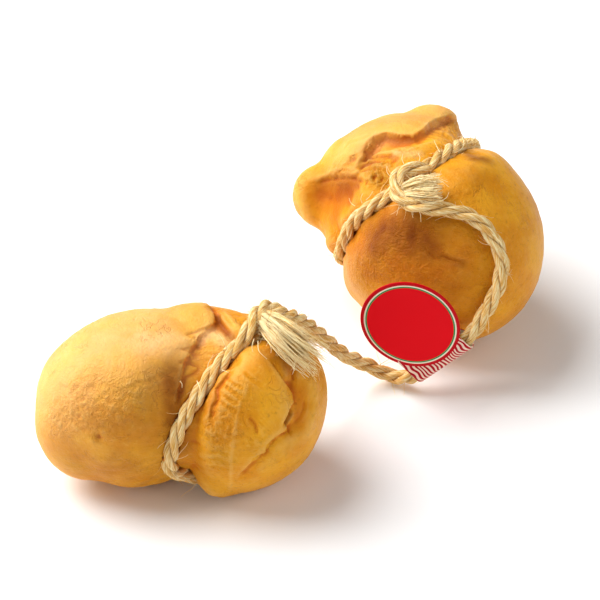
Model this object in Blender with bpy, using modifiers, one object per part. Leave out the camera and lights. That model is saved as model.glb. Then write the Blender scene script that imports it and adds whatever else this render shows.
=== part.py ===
# Two smoked scamorze tied to one piece of twine, with a folded label on the twine between them.
# Metres, +Z up. The cheeses lie on the plane Z = 0, and the origin is under the middle of their footprint.

import math

import bpy
import bmesh
import numpy as np
from mathutils import Matrix, Vector
from mathutils.bvhtree import BVHTree

MM = 0.001
WELD_DISTANCE = 0.001 * MM

# The view that the surface marks are drawn in: a square picture of the pair, looked down on from the front.
PICTURE_SIDE = 600
VIEW_ELEVATION = math.radians(38)
VIEW_DISTANCE = 1.3
VIEW_HALF_WIDTH = 0.09  # half the picture's width at one metre
VIEW_CENTRE = Vector((1.4 * MM, 43.9 * MM, 0.0))  # the point of the table in the middle of the picture

VIEW_RIGHT = Vector((1, 0, 0))
VIEW_UP = Vector((0, math.sin(VIEW_ELEVATION), math.cos(VIEW_ELEVATION)))
VIEW_BACK = Vector((0, -math.cos(VIEW_ELEVATION), math.sin(VIEW_ELEVATION)))
MARK_SPACING = 2.5  # between the points that a mark is laid on the skin with, in picture points
SIGHT_MARGIN = 0.2  # before and behind the view's centre, where a line of sight is searched
SIGHT_STEP = 0.1 * MM
SIGHT_REACHED = 0.05 * MM

# Cheese
LUMP_VOXEL = 1.5 * MM
LUMP_SMOOTHING = 12
SKIN_VOXEL = 1.1 * MM
SKIN_SMOOTHING = 2
NECK_DEPTH = 3.2 * MM
NECK_WIDTH = 6.0 * MM
NECK_SWELL = 0.28  # of the skin beside the neck, as a share of its depth
NECK_SWELL_AT = 2.1  # how far from the neck the skin swells most, in neck widths
CHEESE_TRIANGLES = 3900
SINK = 0.9 * MM  # how much of a cheese's underside its own weight flattens
LEVEL_WITHIN = 0.12 * MM  # underside points this close to the table are on it

# Each lump is its centre, its half sizes and its turn about Y and Z in degrees, in millimetres
# from the point of the table in the middle of the view.
LEFT_LUMPS = (
    ((-56.2, -96.5, 31.3), (39.8, 32.0, 32.0), (0, 12)),
    ((-75.0, -104.3, 26.6), (20.8, 20.5, 22.6), (0, 0)),
    ((-19.2, -99.5, 30.8), (28.8, 31.2, 31.5), (0, -10)),
    ((-37.0, -85.3, 44.8), (22.0, 15.8, 17.6), (0, 0)),
    ((-29.0, -112.6, 14.0), (13.0, 11.5, 13.0), (0, 0)),
)
RIGHT_LUMPS = (
    ((53.2, -12.2, 38.9), (40.8, 38.6, 39.3), (24, -43)),
    ((40.8, 11.8, 41.8), (34.5, 32.0, 32.5), (0, 0)),
    ((8.8, 12.4, 42.0), (11.8, 12.0, 12.5), (0, 0)),
    ((50.2, 29.0, 58.6), (12.3, 12.4, 12.2), (0, 0)),
    ((38.0, 24.0, 57.6), (15.0, 13.5, 12.0), (0, 0)),
    ((22.5, 17.0, 52.0), (14.5, 13.5, 13.0), (0, 0)),
    ((62.2, 20.0, 49.2), (13.2, 12.2, 13.2), (0, 0)),
    ((19.6, -7.8, 33.8), (9.8, 9.6, 10.2), (0, 0)),
)

# Where the twine's loop runs over each cheese, as three points of the picture. The loop is bowed out of their
# plane near one more point, this many millimetres and over this many degrees round the neck.
LEFT_RING = ((187, 472), (190, 398), (254, 330))
LEFT_BOW = ((196, 472), 1.7, 42)
RIGHT_RING = ((338, 261), (388, 200), (464, 141))
RIGHT_BOW = ((352, 240), 5.0, 32)

LEDGE_EDGE = 1.2 * MM  # over which a ledge rises or a drop falls
LEDGE_FOOT = -0.25  # how far the skin dips at a ledge's foot, as a share of its height

# Marks on the skin: the kind, the half width and the height or depth in millimetres, and the line that it
# follows in the picture. A ledge stands up on the left-hand side of its line,
# and a drop falls away on the right-hand side.
LEFT_MARKS = (
    ("groove", 7.0, 1.4, ((173, 375), (174, 415), (176, 440))),
    ("drop", 6.0, 1.8, ((180, 388), (184, 366), (190, 350), (200, 334), (214, 322), (214, 308), (208, 304))),
    ("groove", 2.6, 1.2, ((182, 334), (198, 331))),
    ("groove", 2.6, 1.2, ((178, 351), (192, 346))),
    ("groove", 2.6, 1.2, ((174, 365), (196, 361))),
    ("groove", 2.4, 1.8, ((213, 309), (220, 325), (231, 337))),
    ("groove", 3.0, 1.6, ((227, 365), (234, 361))),
    ("drop", 3.6, 1.4, ((209, 414), (213, 398), (214, 388), (226, 374))),
    ("ridge", 2.6, 0.6, ((236, 425), (233, 445), (231, 478))),
    ("drop", 4.0, 1.8, ((243, 472), (252, 463), (265, 451), (272, 440), (286, 430))),
    ("groove", 4.2, 2.0, ((297, 390), (301, 405), (296, 422))),
    ("groove", 2.2, 1.4, ((294, 366), (294, 382))),
    ("ridge", 4.0, 1.0, ((314, 385), (316, 410), (307, 432))),
    ("groove", 3.0, 0.9, ((256, 420), (255, 434))),
)
RIGHT_MARKS = (
    ("drop", 6.5, 3.2, ((364, 150), (373, 137), (385, 132), (400, 134), (414, 134), (424, 129), (431, 122),
                        (438, 118), (450, 115))),
    ("groove", 3.0, 1.6, ((369, 149), (380, 142), (395, 141), (412, 142), (421, 139))),
    ("groove", 4.6, 2.0, ((446, 124), (455, 131))),
    ("drop", 4.0, 1.0, ((335, 172), (350, 158), (364, 150))),
    ("ledge", 3.4, 1.2, ((320, 179), (332, 176), (345, 175), (357, 177), (366, 182))),
    ("groove", 7.5, 3.0, ((318, 194), (334, 197), (350, 192))),
    ("ridge", 3.0, 1.4, ((298, 187), (301, 202), (308, 217))),
    ("ridge", 3.4, 1.2, ((354, 192), (350, 206), (343, 220))),
    ("ridge", 2.4, 1.2, ((361, 160), (373, 154), (394, 153))),
    ("groove", 2.6, 1.4, ((362, 166), (374, 160), (392, 159))),
    ("ridge", 2.4, 1.0, ((357, 173), (370, 165), (388, 166))),
    ("groove", 4.5, 1.6, ((378, 178), (384, 186))),
    ("groove", 8.0, 2.4, ((372, 230), (395, 231), (412, 238), (436, 258))),
)

# Twine
TWINE_DIAMETER = 5.6 * MM
TWINE_RISE = 0.5 * MM  # of the loop's middle line above the skin
TWINE_GAP = 0.45 * MM  # between the twine and the groove it presses into the cheese
TWINE_OVER_TABLE = 0.3 * MM  # clear of the table, at least
RING_POINTS = 72
KNOT_SPACING = 3.0 * MM
ROUTE_STEPS = 12  # of the curve between two points of a route
TWINE_SIDES = 3  # bevel resolution
TWINE_VOXEL = 0.8 * MM
TWINE_TRIANGLES = 1150
JOINT_GAP = 0.9 * MM  # between the free twine's ends and the knots that it leaves
STUB_LEAD = 5.0 * MM  # of free twine that runs on straight from a knot
ON_SKIN = 3.4  # height of a twine's middle line above the skin it lies on, in millimetres

# Each twine of a knot: points of the picture with the height of its middle line above the skin in
# millimetres, then its thickness at both ends as a share of the twine's.
LEFT_KNOT = (
    (((247, 334, 1.0), (252, 322, 3.0), (258, 312, 4.4), (267, 307, 5.0), (274, 312, 4.4), (271, 321, 3.4),
      (262, 327, 2.4)), 1.0, 1.0),
    (((264, 325, 3.0), (278, 333, 5.0), (295, 346, 6.0), (313, 359, 6.5)), 1.0, 2.1),
    (((268, 318, 4.0), (275, 315, 5.8), (285, 315, 6.6)), 1.0, 1.0),
)
RIGHT_KNOT = (
    (((430, 170, 1.0), (419, 168, 4.0), (408, 167, 5.0), (398, 171, 5.0), (392, 181, 5.0), (393, 194, 5.0),
      (399, 204, 4.6)), 1.0, 1.0),
    (((399, 190, 2.5), (414, 185, 5.0), (430, 181, 6.2), (446, 179, 6.8)), 1.0, 1.5),
    (((401, 196, 3.2), (414, 194.5, 6.3), (428, 192, 8.0), (441, 190, 8.4)), 1.0, 1.1),
    (((399, 204, 4.6), (411, 208, 4.2), (424, 209, 3.5)), 1.0, 1.0),
)

# The free twine: over the right cheese, as picture points with a height above the skin, then through the
# label's sleeve, and up to the left knot, as picture points with a height above the table.
LINK_OVER_CHEESE = (
    (438, 209, ON_SKIN), (449, 210, ON_SKIN), (460, 213, ON_SKIN), (472, 217, ON_SKIN),
    (484, 226, ON_SKIN), (493, 238, ON_SKIN), (499, 250, ON_SKIN), (502, 263, ON_SKIN),
    (501, 276, ON_SKIN), (498, 288, ON_SKIN), (493, 299, ON_SKIN), (486, 311, 3.8), (479, 323, 4.4),
)
LINK_IN_AIR = (
    (410, 377, 7.0), (397, 377, 4.2), (384, 373, 4.8), (372, 367, 8.0), (358, 361, 13.0), (345, 355, 19.0),
    (332, 345, 27.0), (320, 335, 35.0), (309, 326, 42.0),
)
LINK_SPACING = 5.0 * MM

# Label: an oval card that stands in front of the right cheese, with a strip that is folded round the twine
LABEL_CENTRE = (410.3, 324.5, 34.6)  # picture point, and height above the table in millimetres
LABEL_FACING = Vector((0, -1, 0.03)).normalized()
LABEL_LENGTH = 40.6 * MM
LABEL_WIDTH = 34.6 * MM
LABEL_LEAN = math.radians(-52)  # of its long axis, from level
LABEL_THICKNESS = 0.8 * MM
CARD_SIDES = 64
FOLD_LEAN = math.radians(41)
FOLD_REACH = 25.1 * MM  # from the card's middle to the fold
STRIP_WIDTH = 24.8 * MM
STRIP_SHIFT = -2.4 * MM  # of the strip's middle along the fold
STRIP_SET_BACK = 0.15 * MM  # of the strip's face behind the card's
STRIP_REACH = 15.0 * MM  # from the fold to where the strip's back is glued to the card
STRIP_ARC_STEPS = 14
SLEEVE_GAP = 0.55 * MM  # between the twine and the bore
SLEEVE_CLEARANCE = 2.0 * MM  # of straight twine past each end of the sleeve


def clear_scene():
    for obj in list(bpy.data.objects):
        bpy.data.objects.remove(obj, do_unlink=True)


def material(name, colour, roughness):
    made = bpy.data.materials.new(name)
    made.use_nodes = True
    shader = made.node_tree.nodes["Principled BSDF"]
    shader.inputs["Base Color"].default_value = (*colour, 1)
    shader.inputs["Roughness"].default_value = roughness
    shader.inputs["Metallic"].default_value = 0
    made.diffuse_color = (*colour, 1)
    return made


def add_object(name, mesh, collection):
    obj = bpy.data.objects.new(name, mesh)
    collection.objects.link(obj)
    return obj


def add_part(name, mesh, collection, finish, parent):
    """A finished sub-part, shaded smooth."""
    part = add_object(name, mesh, collection)
    mesh.materials.clear()
    mesh.materials.append(finish)
    mesh.shade_smooth()
    part.parent = parent
    return part


def evaluated_mesh(obj, name):
    """A plain mesh of the object with its modifiers applied. The object is removed."""
    bpy.context.view_layer.update()
    graph = bpy.context.evaluated_depsgraph_get()
    mesh = bpy.data.meshes.new_from_object(obj.evaluated_get(graph))
    mesh.name = name
    bpy.data.objects.remove(obj, do_unlink=True)
    return mesh


def sight_line(px, py):
    """Start and direction of the line of sight through a point of the picture."""
    across = (px - PICTURE_SIDE / 2) / (PICTURE_SIDE / 2) * VIEW_HALF_WIDTH
    up = (PICTURE_SIDE / 2 - py) / (PICTURE_SIDE / 2) * VIEW_HALF_WIDTH
    start = VIEW_CENTRE + VIEW_BACK * VIEW_DISTANCE
    return start, (VIEW_RIGHT * across + VIEW_UP * up - VIEW_BACK).normalized()


def on_skin(tree, px, py):
    """The point of the skin that the picture shows at (px, py), and its normal."""
    place, normal, _, _ = tree.ray_cast(*sight_line(px, py))
    if place is None:
        raise ValueError(f"no skin at {px}, {py}")
    return place, normal


def above_skin(tree, px, py, height):
    """The first point of the line of sight that is this many millimetres from the skin, or its nearest."""
    start, direction = sight_line(px, py)
    travelled = VIEW_DISTANCE - SIGHT_MARGIN
    nearest = (1.0, start)
    while travelled < VIEW_DISTANCE + SIGHT_MARGIN:
        place = start + direction * travelled
        spare = tree.find_nearest(place)[3] - height * MM
        if spare < nearest[0]:
            nearest = (spare, place)
        if spare < SIGHT_REACHED:
            break
        travelled += max(spare, SIGHT_STEP)
    return nearest[1]


def above_table(px, py, height):
    """The point of the line of sight that is this many millimetres above the table."""
    start, direction = sight_line(px, py)
    return start + direction * ((height * MM - start.z) / direction.z)


def points_of(mesh):
    flat = np.empty(len(mesh.vertices) * 3, np.float32)
    mesh.vertices.foreach_get("co", flat)
    return flat.reshape(-1, 3).astype(float)


def normals_of(mesh):
    flat = np.empty(len(mesh.vertices) * 3, np.float32)
    mesh.vertices.foreach_get("normal", flat)
    return flat.reshape(-1, 3).astype(float)


def set_points(mesh, points):
    mesh.vertices.foreach_set("co", points.astype(np.float32).ravel())
    mesh.update()


def tree_of(mesh):
    bm = bmesh.new()
    bm.from_mesh(mesh)
    tree = BVHTree.FromBMesh(bm)
    bm.free()
    return tree


def remeshed(mesh, voxel, smoothing, collection):
    """The outer surface of the mesh as even quads, softened."""
    obj = add_object("remesh_guide", mesh, collection)
    remesh = obj.modifiers.new("skin", "REMESH")
    remesh.mode = "VOXEL"
    remesh.voxel_size = voxel
    if smoothing:
        soften = obj.modifiers.new("soften", "SMOOTH")
        soften.factor = 0.5
        soften.iterations = smoothing
    return evaluated_mesh(obj, mesh.name)


def decimated(mesh, triangles, collection):
    """The mesh with about this many triangles, fewest where it is smoothest."""
    obj = add_object("decimate_guide", mesh, collection)
    fewer = obj.modifiers.new("fewer", "DECIMATE")
    mesh.calc_loop_triangles()
    fewer.ratio = triangles / len(mesh.loop_triangles)
    fewer.use_collapse_triangulate = True
    return evaluated_mesh(obj, mesh.name)


def lumps_mesh(name, lumps, collection):
    """One soft skin round all the lumps."""
    bm = bmesh.new()
    for centre, half_sizes, (about_y, about_z) in lumps:
        place = VIEW_CENTRE + Vector(centre) * MM
        turn = Matrix.Rotation(math.radians(about_z), 4, "Z") @ Matrix.Rotation(
            math.radians(about_y), 4, "Y"
        )
        size = Matrix.Diagonal((*(Vector(half_sizes) * MM), 1))
        bmesh.ops.create_icosphere(
            bm, subdivisions=4, radius=1, matrix=Matrix.Translation(place) @ turn @ size
        )
    mesh = bpy.data.meshes.new(name)
    bm.to_mesh(mesh)
    bm.free()
    coarse = remeshed(mesh, LUMP_VOXEL, LUMP_SMOOTHING, collection)
    return remeshed(coarse, SKIN_VOXEL, SKIN_SMOOTHING, collection)


def ring_plane(mesh, marks, bow):
    """Centre and normal of the plane through three points of the picture on the skin, and the loop's bow."""
    tree = tree_of(mesh)
    first, second, third = (on_skin(tree, *mark)[0] for mark in marks)
    normal = (second - first).cross(third - second).normalized()
    points = points_of(mesh)
    near = np.abs((points - np.array(first)) @ np.array(normal)) < SKIN_VOXEL
    centre = Vector(points[near].mean(axis=0))
    mark, amount, reach = bow
    toward = on_skin(tree, *mark)[0] - centre
    toward = (toward - normal * toward.dot(normal)).normalized()
    return centre, normal, (np.array(toward), amount * MM, math.radians(reach))


def bow_height(outward, bow):
    """How far out of its plane the loop is bowed, in these ways outward from the neck's axis."""
    toward, amount, reach = bow
    return amount * np.exp(-((np.arccos(np.clip(outward @ toward, -1, 1)) / reach) ** 2))


def pinch(mesh, centre, normal, bow):
    """Draws the skin in round the loop, and lets it swell a little on both sides."""
    points = points_of(mesh)
    axis = np.array(normal)
    away = points - np.array(centre)
    height = away @ axis
    radial = away - height[:, None] * axis
    outward = radial / np.maximum(np.linalg.norm(radial, axis=1, keepdims=True), 1e-6)
    height = height - bow_height(outward, bow)
    draw = NECK_DEPTH * np.exp(-((height / NECK_WIDTH) ** 2))
    swell = NECK_SWELL * NECK_DEPTH * np.exp(-((np.abs(height) / NECK_WIDTH - NECK_SWELL_AT) ** 2))
    set_points(mesh, points + outward * (swell - draw)[:, None])


def lay_on_table(mesh, sink):
    """Lets the mesh down until it would sink in the plane Z = 0 this much, and flattens what is below it."""
    points = points_of(mesh)
    points[:, 2] -= points[:, 2].min() + sink
    points[points[:, 2] < LEVEL_WITHIN, 2] = 0
    set_points(mesh, points)


def mark_line(tree, marks):
    """Points of the skin along a line of the picture, their normals, and the way the line runs."""
    corners = [marks[0]]
    for (x0, y0), (x1, y1) in zip(marks, marks[1:]):
        steps = max(1, round(math.hypot(x1 - x0, y1 - y0) / MARK_SPACING))
        corners += [(x0 + (x1 - x0) * i / steps, y0 + (y1 - y0) * i / steps) for i in range(1, steps + 1)]
    laid = [on_skin(tree, px, py) for px, py in corners]
    places = np.array([place for place, _ in laid])
    return places, np.array([normal for _, normal in laid]), np.gradient(places, axis=0)


def press_marks(mesh, marks):
    """Moves the skin along its own normals, by the marks laid on it."""
    tree = tree_of(mesh)
    points = points_of(mesh)
    normals = normals_of(mesh)
    moved = np.zeros(len(points))
    for kind, width, amount, line in marks:
        places, facing, along = mark_line(tree, line)
        width *= MM
        gaps = points[:, None, :] - places[None, :, :]
        distances = np.linalg.norm(gaps, axis=2)
        nearest = distances.argmin(axis=1)
        rows = np.arange(len(points))
        distance = distances[rows, nearest]
        same_side = np.clip(2 * np.einsum("ij,ij->i", normals, facing[nearest]), 0, 1)
        bell = np.exp(-((distance / width) ** 2)) * same_side * amount * MM
        if kind == "ridge":
            moved += bell
        elif kind == "groove":
            moved -= bell
        else:
            left = np.cross(facing[nearest], along[nearest])
            left /= np.maximum(np.linalg.norm(left, axis=1, keepdims=True), 1e-9)
            side = np.einsum("ij,ij->i", gaps[rows, nearest], left)
            if kind == "ledge":
                moved += bell * np.clip(side / LEDGE_EDGE, LEDGE_FOOT, 1)
            elif kind == "drop":
                moved -= bell * np.clip(-side / LEDGE_EDGE, 0, 1)
    set_points(mesh, points + normals * moved[:, None])


def ring_path(mesh, centre, normal, bow):
    """The middle line of a taut loop round the neck: it bridges the hollows of the skin."""
    tree = tree_of(mesh)
    across = normal.orthogonal().normalized()
    other = normal.cross(across)
    hits = []
    for step in range(RING_POINTS * 2):
        angle = math.pi * step / RING_POINTS
        outward = across * math.cos(angle) + other * math.sin(angle)
        level = centre + normal * float(bow_height(np.array(outward), bow))
        hit = tree.ray_cast(level + outward * SIGHT_MARGIN, -outward)[0]
        hits.append(((hit - centre).dot(across), (hit - centre).dot(other)))
    corners = convex_outline(hits)
    path = even_loop(corners, RING_POINTS)
    radius = TWINE_DIAMETER / 2
    ring = []
    for x, y in path:
        flat = Vector((x, y))
        flat *= 1 + TWINE_RISE / flat.length
        place = centre + across * flat.x + other * flat.y
        place += normal * float(bow_height(np.array((place - centre).normalized()), bow))
        place.z = max(place.z, radius + TWINE_OVER_TABLE)
        ring.append(place)
    for _ in range(3):
        ring = [(ring[i - 1] + ring[i] * 2 + ring[(i + 1) % len(ring)]) / 4 for i in range(len(ring))]
    return ring


def convex_outline(points):
    """The convex hull of 2-D points, anticlockwise."""
    points = sorted(points)

    def half(ordered):
        chain = []
        for point in ordered:
            while len(chain) > 1 and (
                (chain[-1][0] - chain[-2][0]) * (point[1] - chain[-2][1])
                - (chain[-1][1] - chain[-2][1]) * (point[0] - chain[-2][0])
            ) <= 0:
                chain.pop()
            chain.append(point)
        return chain[:-1]

    return half(points) + half(points[::-1])


def even_loop(corners, count):
    """Points at even distances round a closed outline."""
    closed = np.array(corners + corners[:1])
    travelled = np.concatenate([[0], np.cumsum(np.linalg.norm(np.diff(closed, axis=0), axis=1))])
    wanted = np.linspace(0, travelled[-1], count, endpoint=False)
    return [(np.interp(w, travelled, closed[:, 0]), np.interp(w, travelled, closed[:, 1])) for w in wanted]


def smooth_route(points, spacing):
    """Even points on the smooth curve through the route's points."""
    points = [Vector(p) for p in points]
    padded = [points[0] * 2 - points[1]] + points + [points[-1] * 2 - points[-2]]
    fine = []
    for a, b, c, d in zip(padded, padded[1:], padded[2:], padded[3:]):
        for step in range(ROUTE_STEPS):
            t = step / ROUTE_STEPS
            bend = 2 * a - 5 * b + 4 * c - d
            twist = 3 * b - 3 * c + d - a
            fine.append(0.5 * (2 * b + (c - a) * t + bend * t**2 + twist * t**3))
    fine = np.array(fine + [points[-1]])
    travelled = np.concatenate([[0], np.cumsum(np.linalg.norm(np.diff(fine, axis=0), axis=1))])
    count = max(2, round(travelled[-1] / spacing) + 1)
    wanted = np.linspace(0, travelled[-1], count)
    return [Vector([np.interp(w, travelled, fine[:, axis]) for axis in range(3)]) for w in wanted]


def twine_tube(name, route, collection, closed=False, start_share=1.0, end_share=1.0):
    """A round twine along the route, as a curve object with filled ends."""
    curve = bpy.data.curves.new(name, "CURVE")
    curve.dimensions = "3D"
    curve.bevel_depth = TWINE_DIAMETER / 2
    curve.bevel_resolution = TWINE_SIDES
    curve.use_fill_caps = True
    spline = curve.splines.new("POLY")
    spline.points.add(len(route) - 1)
    for index, (point, place) in enumerate(zip(spline.points, route)):
        point.co = (*place, 1)
        share = index / (len(route) - 1)
        point.radius = start_share + (end_share - start_share) * share
    spline.use_cyclic_u = closed
    obj = bpy.data.objects.new(name, curve)
    collection.objects.link(obj)
    return obj


def tied_twine(name, skin, ring, knot, collection):
    """The loop and its knot with the frayed end, fused into one mesh."""
    tree = tree_of(skin)
    tubes = [twine_tube("loop", ring, collection, closed=True)]
    for points, start_share, end_share in knot:
        route = smooth_route([above_skin(tree, *point) for point in points], KNOT_SPACING)
        tubes.append(
            twine_tube("strand", route, collection, start_share=start_share, end_share=end_share)
        )
    bm = bmesh.new()
    for tube in tubes:
        mesh = evaluated_mesh(tube, "tube")
        bm.from_mesh(mesh)
        bpy.data.meshes.remove(mesh)
    bmesh.ops.remove_doubles(bm, verts=bm.verts, dist=WELD_DISTANCE)
    joined = bpy.data.meshes.new(name)
    bm.to_mesh(joined)
    bm.free()
    return decimated(remeshed(joined, TWINE_VOXEL, 2, collection), TWINE_TRIANGLES, collection)


def cut_groove(cheese, twine, cutters):
    """Cuts the twine's own shape, grown by the gap, out of the cheese."""
    grown = twine.data.copy()
    set_points(grown, points_of(grown) + normals_of(grown) * TWINE_GAP)
    cutter = add_object("groove_of_" + cheese.name, grown, cutters)
    cutter.hide_render = True
    cutter.display_type = "WIRE"
    cut = cheese.modifiers.new("groove", "BOOLEAN")
    cut.operation = "DIFFERENCE"
    cut.object = cutter


def label_frame():
    """The card's middle, its level and rising directions, and the fold's directions along and inward."""
    level = Vector((0, 0, 1)).cross(-LABEL_FACING).normalized()
    level = level if level.x > 0 else -level
    rising = LABEL_FACING.cross(level).normalized()
    rising = rising if rising.z > 0 else -rising
    along = level * math.cos(FOLD_LEAN) + rising * math.sin(FOLD_LEAN)
    inward = rising * math.cos(FOLD_LEAN) - level * math.sin(FOLD_LEAN)
    return above_table(*LABEL_CENTRE), level, rising, along, inward


def sleeve_sizes():
    """The sleeve's bore, its outer radius, and how far its axis is behind the card's middle plane."""
    bore = TWINE_DIAMETER / 2 + SLEEVE_GAP
    return bore, bore + LABEL_THICKNESS, bore + LABEL_THICKNESS / 2 + STRIP_SET_BACK


def sleeve_axis():
    """The two ends of the sleeve's middle line."""
    centre, _, _, along, inward = label_frame()
    _, outer, behind = sleeve_sizes()
    middle = centre + inward * (outer - FOLD_REACH) + along * STRIP_SHIFT - LABEL_FACING * behind
    return middle + along * (STRIP_WIDTH / 2), middle - along * (STRIP_WIDTH / 2)


def knot_exit(skin, knot):
    """Where the free twine leaves a knot, and the way it points there."""
    tree = tree_of(skin)
    before, end = (above_skin(tree, *point) for point in knot[-1][0][-2:])
    return end, (end - before).normalized()


def link_route(left_skin, right_skin):
    """The middle line of the free twine, from the right knot to the left one."""
    tree = tree_of(right_skin)
    start, away = knot_exit(right_skin, RIGHT_KNOT)
    end, back = knot_exit(left_skin, LEFT_KNOT)
    high, low = sleeve_axis()
    beyond = (high - low).normalized() * SLEEVE_CLEARANCE
    over = [start + away * JOINT_GAP] + [above_skin(tree, *point) for point in LINK_OVER_CHEESE]
    through = [high + beyond] + [high.lerp(low, share / 4) for share in range(5)] + [low - beyond]
    up = [above_table(*point) for point in LINK_IN_AIR]
    return over + through + up + [end + back * STUB_LEAD, end + back * JOINT_GAP]


def sleeve_outlines():
    """The strip's section, a drop-shaped ring: distances inward from the fold and behind the card."""
    bore, outer, behind = sleeve_sizes()
    half = LABEL_THICKNESS / 2
    outlines = []
    for radius, tip, front in (
        (outer, STRIP_REACH, STRIP_SET_BACK - half),
        (bore, STRIP_REACH - 4 * LABEL_THICKNESS, STRIP_SET_BACK + half),
    ):
        to_tip = Vector((tip - outer, STRIP_SET_BACK + half - behind))
        tangent = math.atan2(to_tip.y, to_tip.x) + math.acos(radius / to_tip.length)
        first, last = -math.pi / 2, tangent - 2 * math.pi
        arc = [first + (last - first) * step / STRIP_ARC_STEPS for step in range(STRIP_ARC_STEPS + 1)]
        points = [(tip, front)] if front < half else []
        points += [(outer + radius * math.cos(a), behind + radius * math.sin(a)) for a in arc]
        outlines.append(points + [(tip, STRIP_SET_BACK + half)])
    return outlines


def card_mesh():
    """The oval card."""
    centre, level, rising, _, _ = label_frame()
    long_axis = level * math.cos(LABEL_LEAN) + rising * math.sin(LABEL_LEAN)
    turn = Matrix((long_axis, LABEL_FACING.cross(long_axis), LABEL_FACING)).transposed().to_4x4()
    size = Matrix.Diagonal((LABEL_LENGTH, LABEL_WIDTH, LABEL_THICKNESS, 1))
    bm = bmesh.new()
    bmesh.ops.create_cone(
        bm, cap_ends=True, segments=CARD_SIDES, radius1=0.5, radius2=0.5, depth=1,
        matrix=Matrix.Translation(centre) @ turn @ size,
    )
    mesh = bpy.data.meshes.new("card")
    bm.to_mesh(mesh)
    bm.free()
    return mesh


def strip_mesh(collection):
    """The strip that is folded round the twine, as a closed sleeve."""
    centre, _, _, along, inward = label_frame()
    curve = bpy.data.curves.new("strip", "CURVE")
    curve.dimensions = "2D"
    curve.fill_mode = "BOTH"
    curve.extrude = STRIP_WIDTH / 2
    for outline in sleeve_outlines():
        spline = curve.splines.new("POLY")
        spline.points.add(len(outline) - 1)
        for point, (across, back) in zip(spline.points, outline):
            point.co = (across, back, 0, 1)
        spline.use_cyclic_u = True
    strip = bpy.data.objects.new("strip", curve)
    collection.objects.link(strip)
    fold = centre - inward * FOLD_REACH + along * STRIP_SHIFT
    turn = Matrix((inward, -LABEL_FACING, inward.cross(-LABEL_FACING))).transposed().to_4x4()
    mesh = evaluated_mesh(strip, "strip")
    mesh.transform(Matrix.Translation(fold) @ turn)
    bm = bmesh.new()
    bm.from_mesh(mesh)
    bmesh.ops.remove_doubles(bm, verts=bm.verts, dist=WELD_DISTANCE)
    bmesh.ops.recalc_face_normals(bm, faces=bm.faces)
    bm.to_mesh(mesh)
    bm.free()
    return mesh


def label_mesh(name, collection):
    """The oval card, joined to the strip that makes a sleeve round the twine."""
    folded = add_object("strip", strip_mesh(collection), collection)
    card = add_object("card", card_mesh(), collection)
    union = card.modifiers.new("strip", "BOOLEAN")
    union.operation = "UNION"
    union.object = folded
    mesh = evaluated_mesh(card, name)
    bpy.data.objects.remove(folded, do_unlink=True)
    return mesh


def main():
    clear_scene()
    parts = bpy.data.collections.new("scamorza_pair")
    cutters = bpy.data.collections.new("cutters")
    for collection in (parts, cutters):
        bpy.context.scene.collection.children.link(collection)
    pair = bpy.data.objects.new("pair", None)
    parts.objects.link(pair)
    skin_finish = material("smoked_skin", (0.80, 0.42, 0.10), 0.45)
    twine_finish = material("sisal_twine", (0.72, 0.56, 0.32), 0.85)
    card_finish = material("printed_card", (0.75, 0.01, 0.02), 0.35)

    skins = []
    for side, lumps, ring, bow, marks, knot in (
        ("left", LEFT_LUMPS, LEFT_RING, LEFT_BOW, LEFT_MARKS, LEFT_KNOT),
        ("right", RIGHT_LUMPS, RIGHT_RING, RIGHT_BOW, RIGHT_MARKS, RIGHT_KNOT),
    ):
        skin = lumps_mesh("scamorza_" + side, lumps, parts)
        centre, normal, bow = ring_plane(skin, ring, bow)
        pinch(skin, centre, normal, bow)
        lay_on_table(skin, SINK)
        press_marks(skin, marks)
        skins.append(skin.copy())
        loop = ring_path(skin, centre, normal, bow)
        tied = tied_twine("twine_" + side, skin, loop, knot, parts)
        twine = add_part("twine_" + side, tied, parts, twine_finish, pair)
        coarse = decimated(skin, CHEESE_TRIANGLES, parts)
        lay_on_table(coarse, 0)
        cheese = add_part("scamorza_" + side, coarse, parts, skin_finish, pair)
        cut_groove(cheese, twine, cutters)

    link = twine_tube("twine_link", smooth_route(link_route(*skins), LINK_SPACING), parts)
    link.data.materials.append(twine_finish)
    link.parent = pair
    add_part("label_tag", label_mesh("label_tag", parts), parts, card_finish, pair)


main()
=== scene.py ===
import math

import bmesh
import bpy
import numpy as np
from mathutils import Matrix, Vector
from mathutils.bvhtree import BVHTree


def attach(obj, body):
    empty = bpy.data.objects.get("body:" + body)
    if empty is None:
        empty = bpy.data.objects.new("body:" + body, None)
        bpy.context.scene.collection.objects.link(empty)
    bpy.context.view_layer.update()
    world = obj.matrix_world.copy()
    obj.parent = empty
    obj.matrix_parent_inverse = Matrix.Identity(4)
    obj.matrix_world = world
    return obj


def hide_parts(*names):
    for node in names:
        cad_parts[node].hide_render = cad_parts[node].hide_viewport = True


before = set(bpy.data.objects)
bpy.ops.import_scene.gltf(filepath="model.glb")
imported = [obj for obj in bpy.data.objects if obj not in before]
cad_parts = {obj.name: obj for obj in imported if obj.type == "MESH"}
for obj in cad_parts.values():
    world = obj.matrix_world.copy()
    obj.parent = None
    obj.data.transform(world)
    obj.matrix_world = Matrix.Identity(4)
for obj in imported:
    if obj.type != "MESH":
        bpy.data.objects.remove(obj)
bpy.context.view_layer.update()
mm = 0.001

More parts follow.
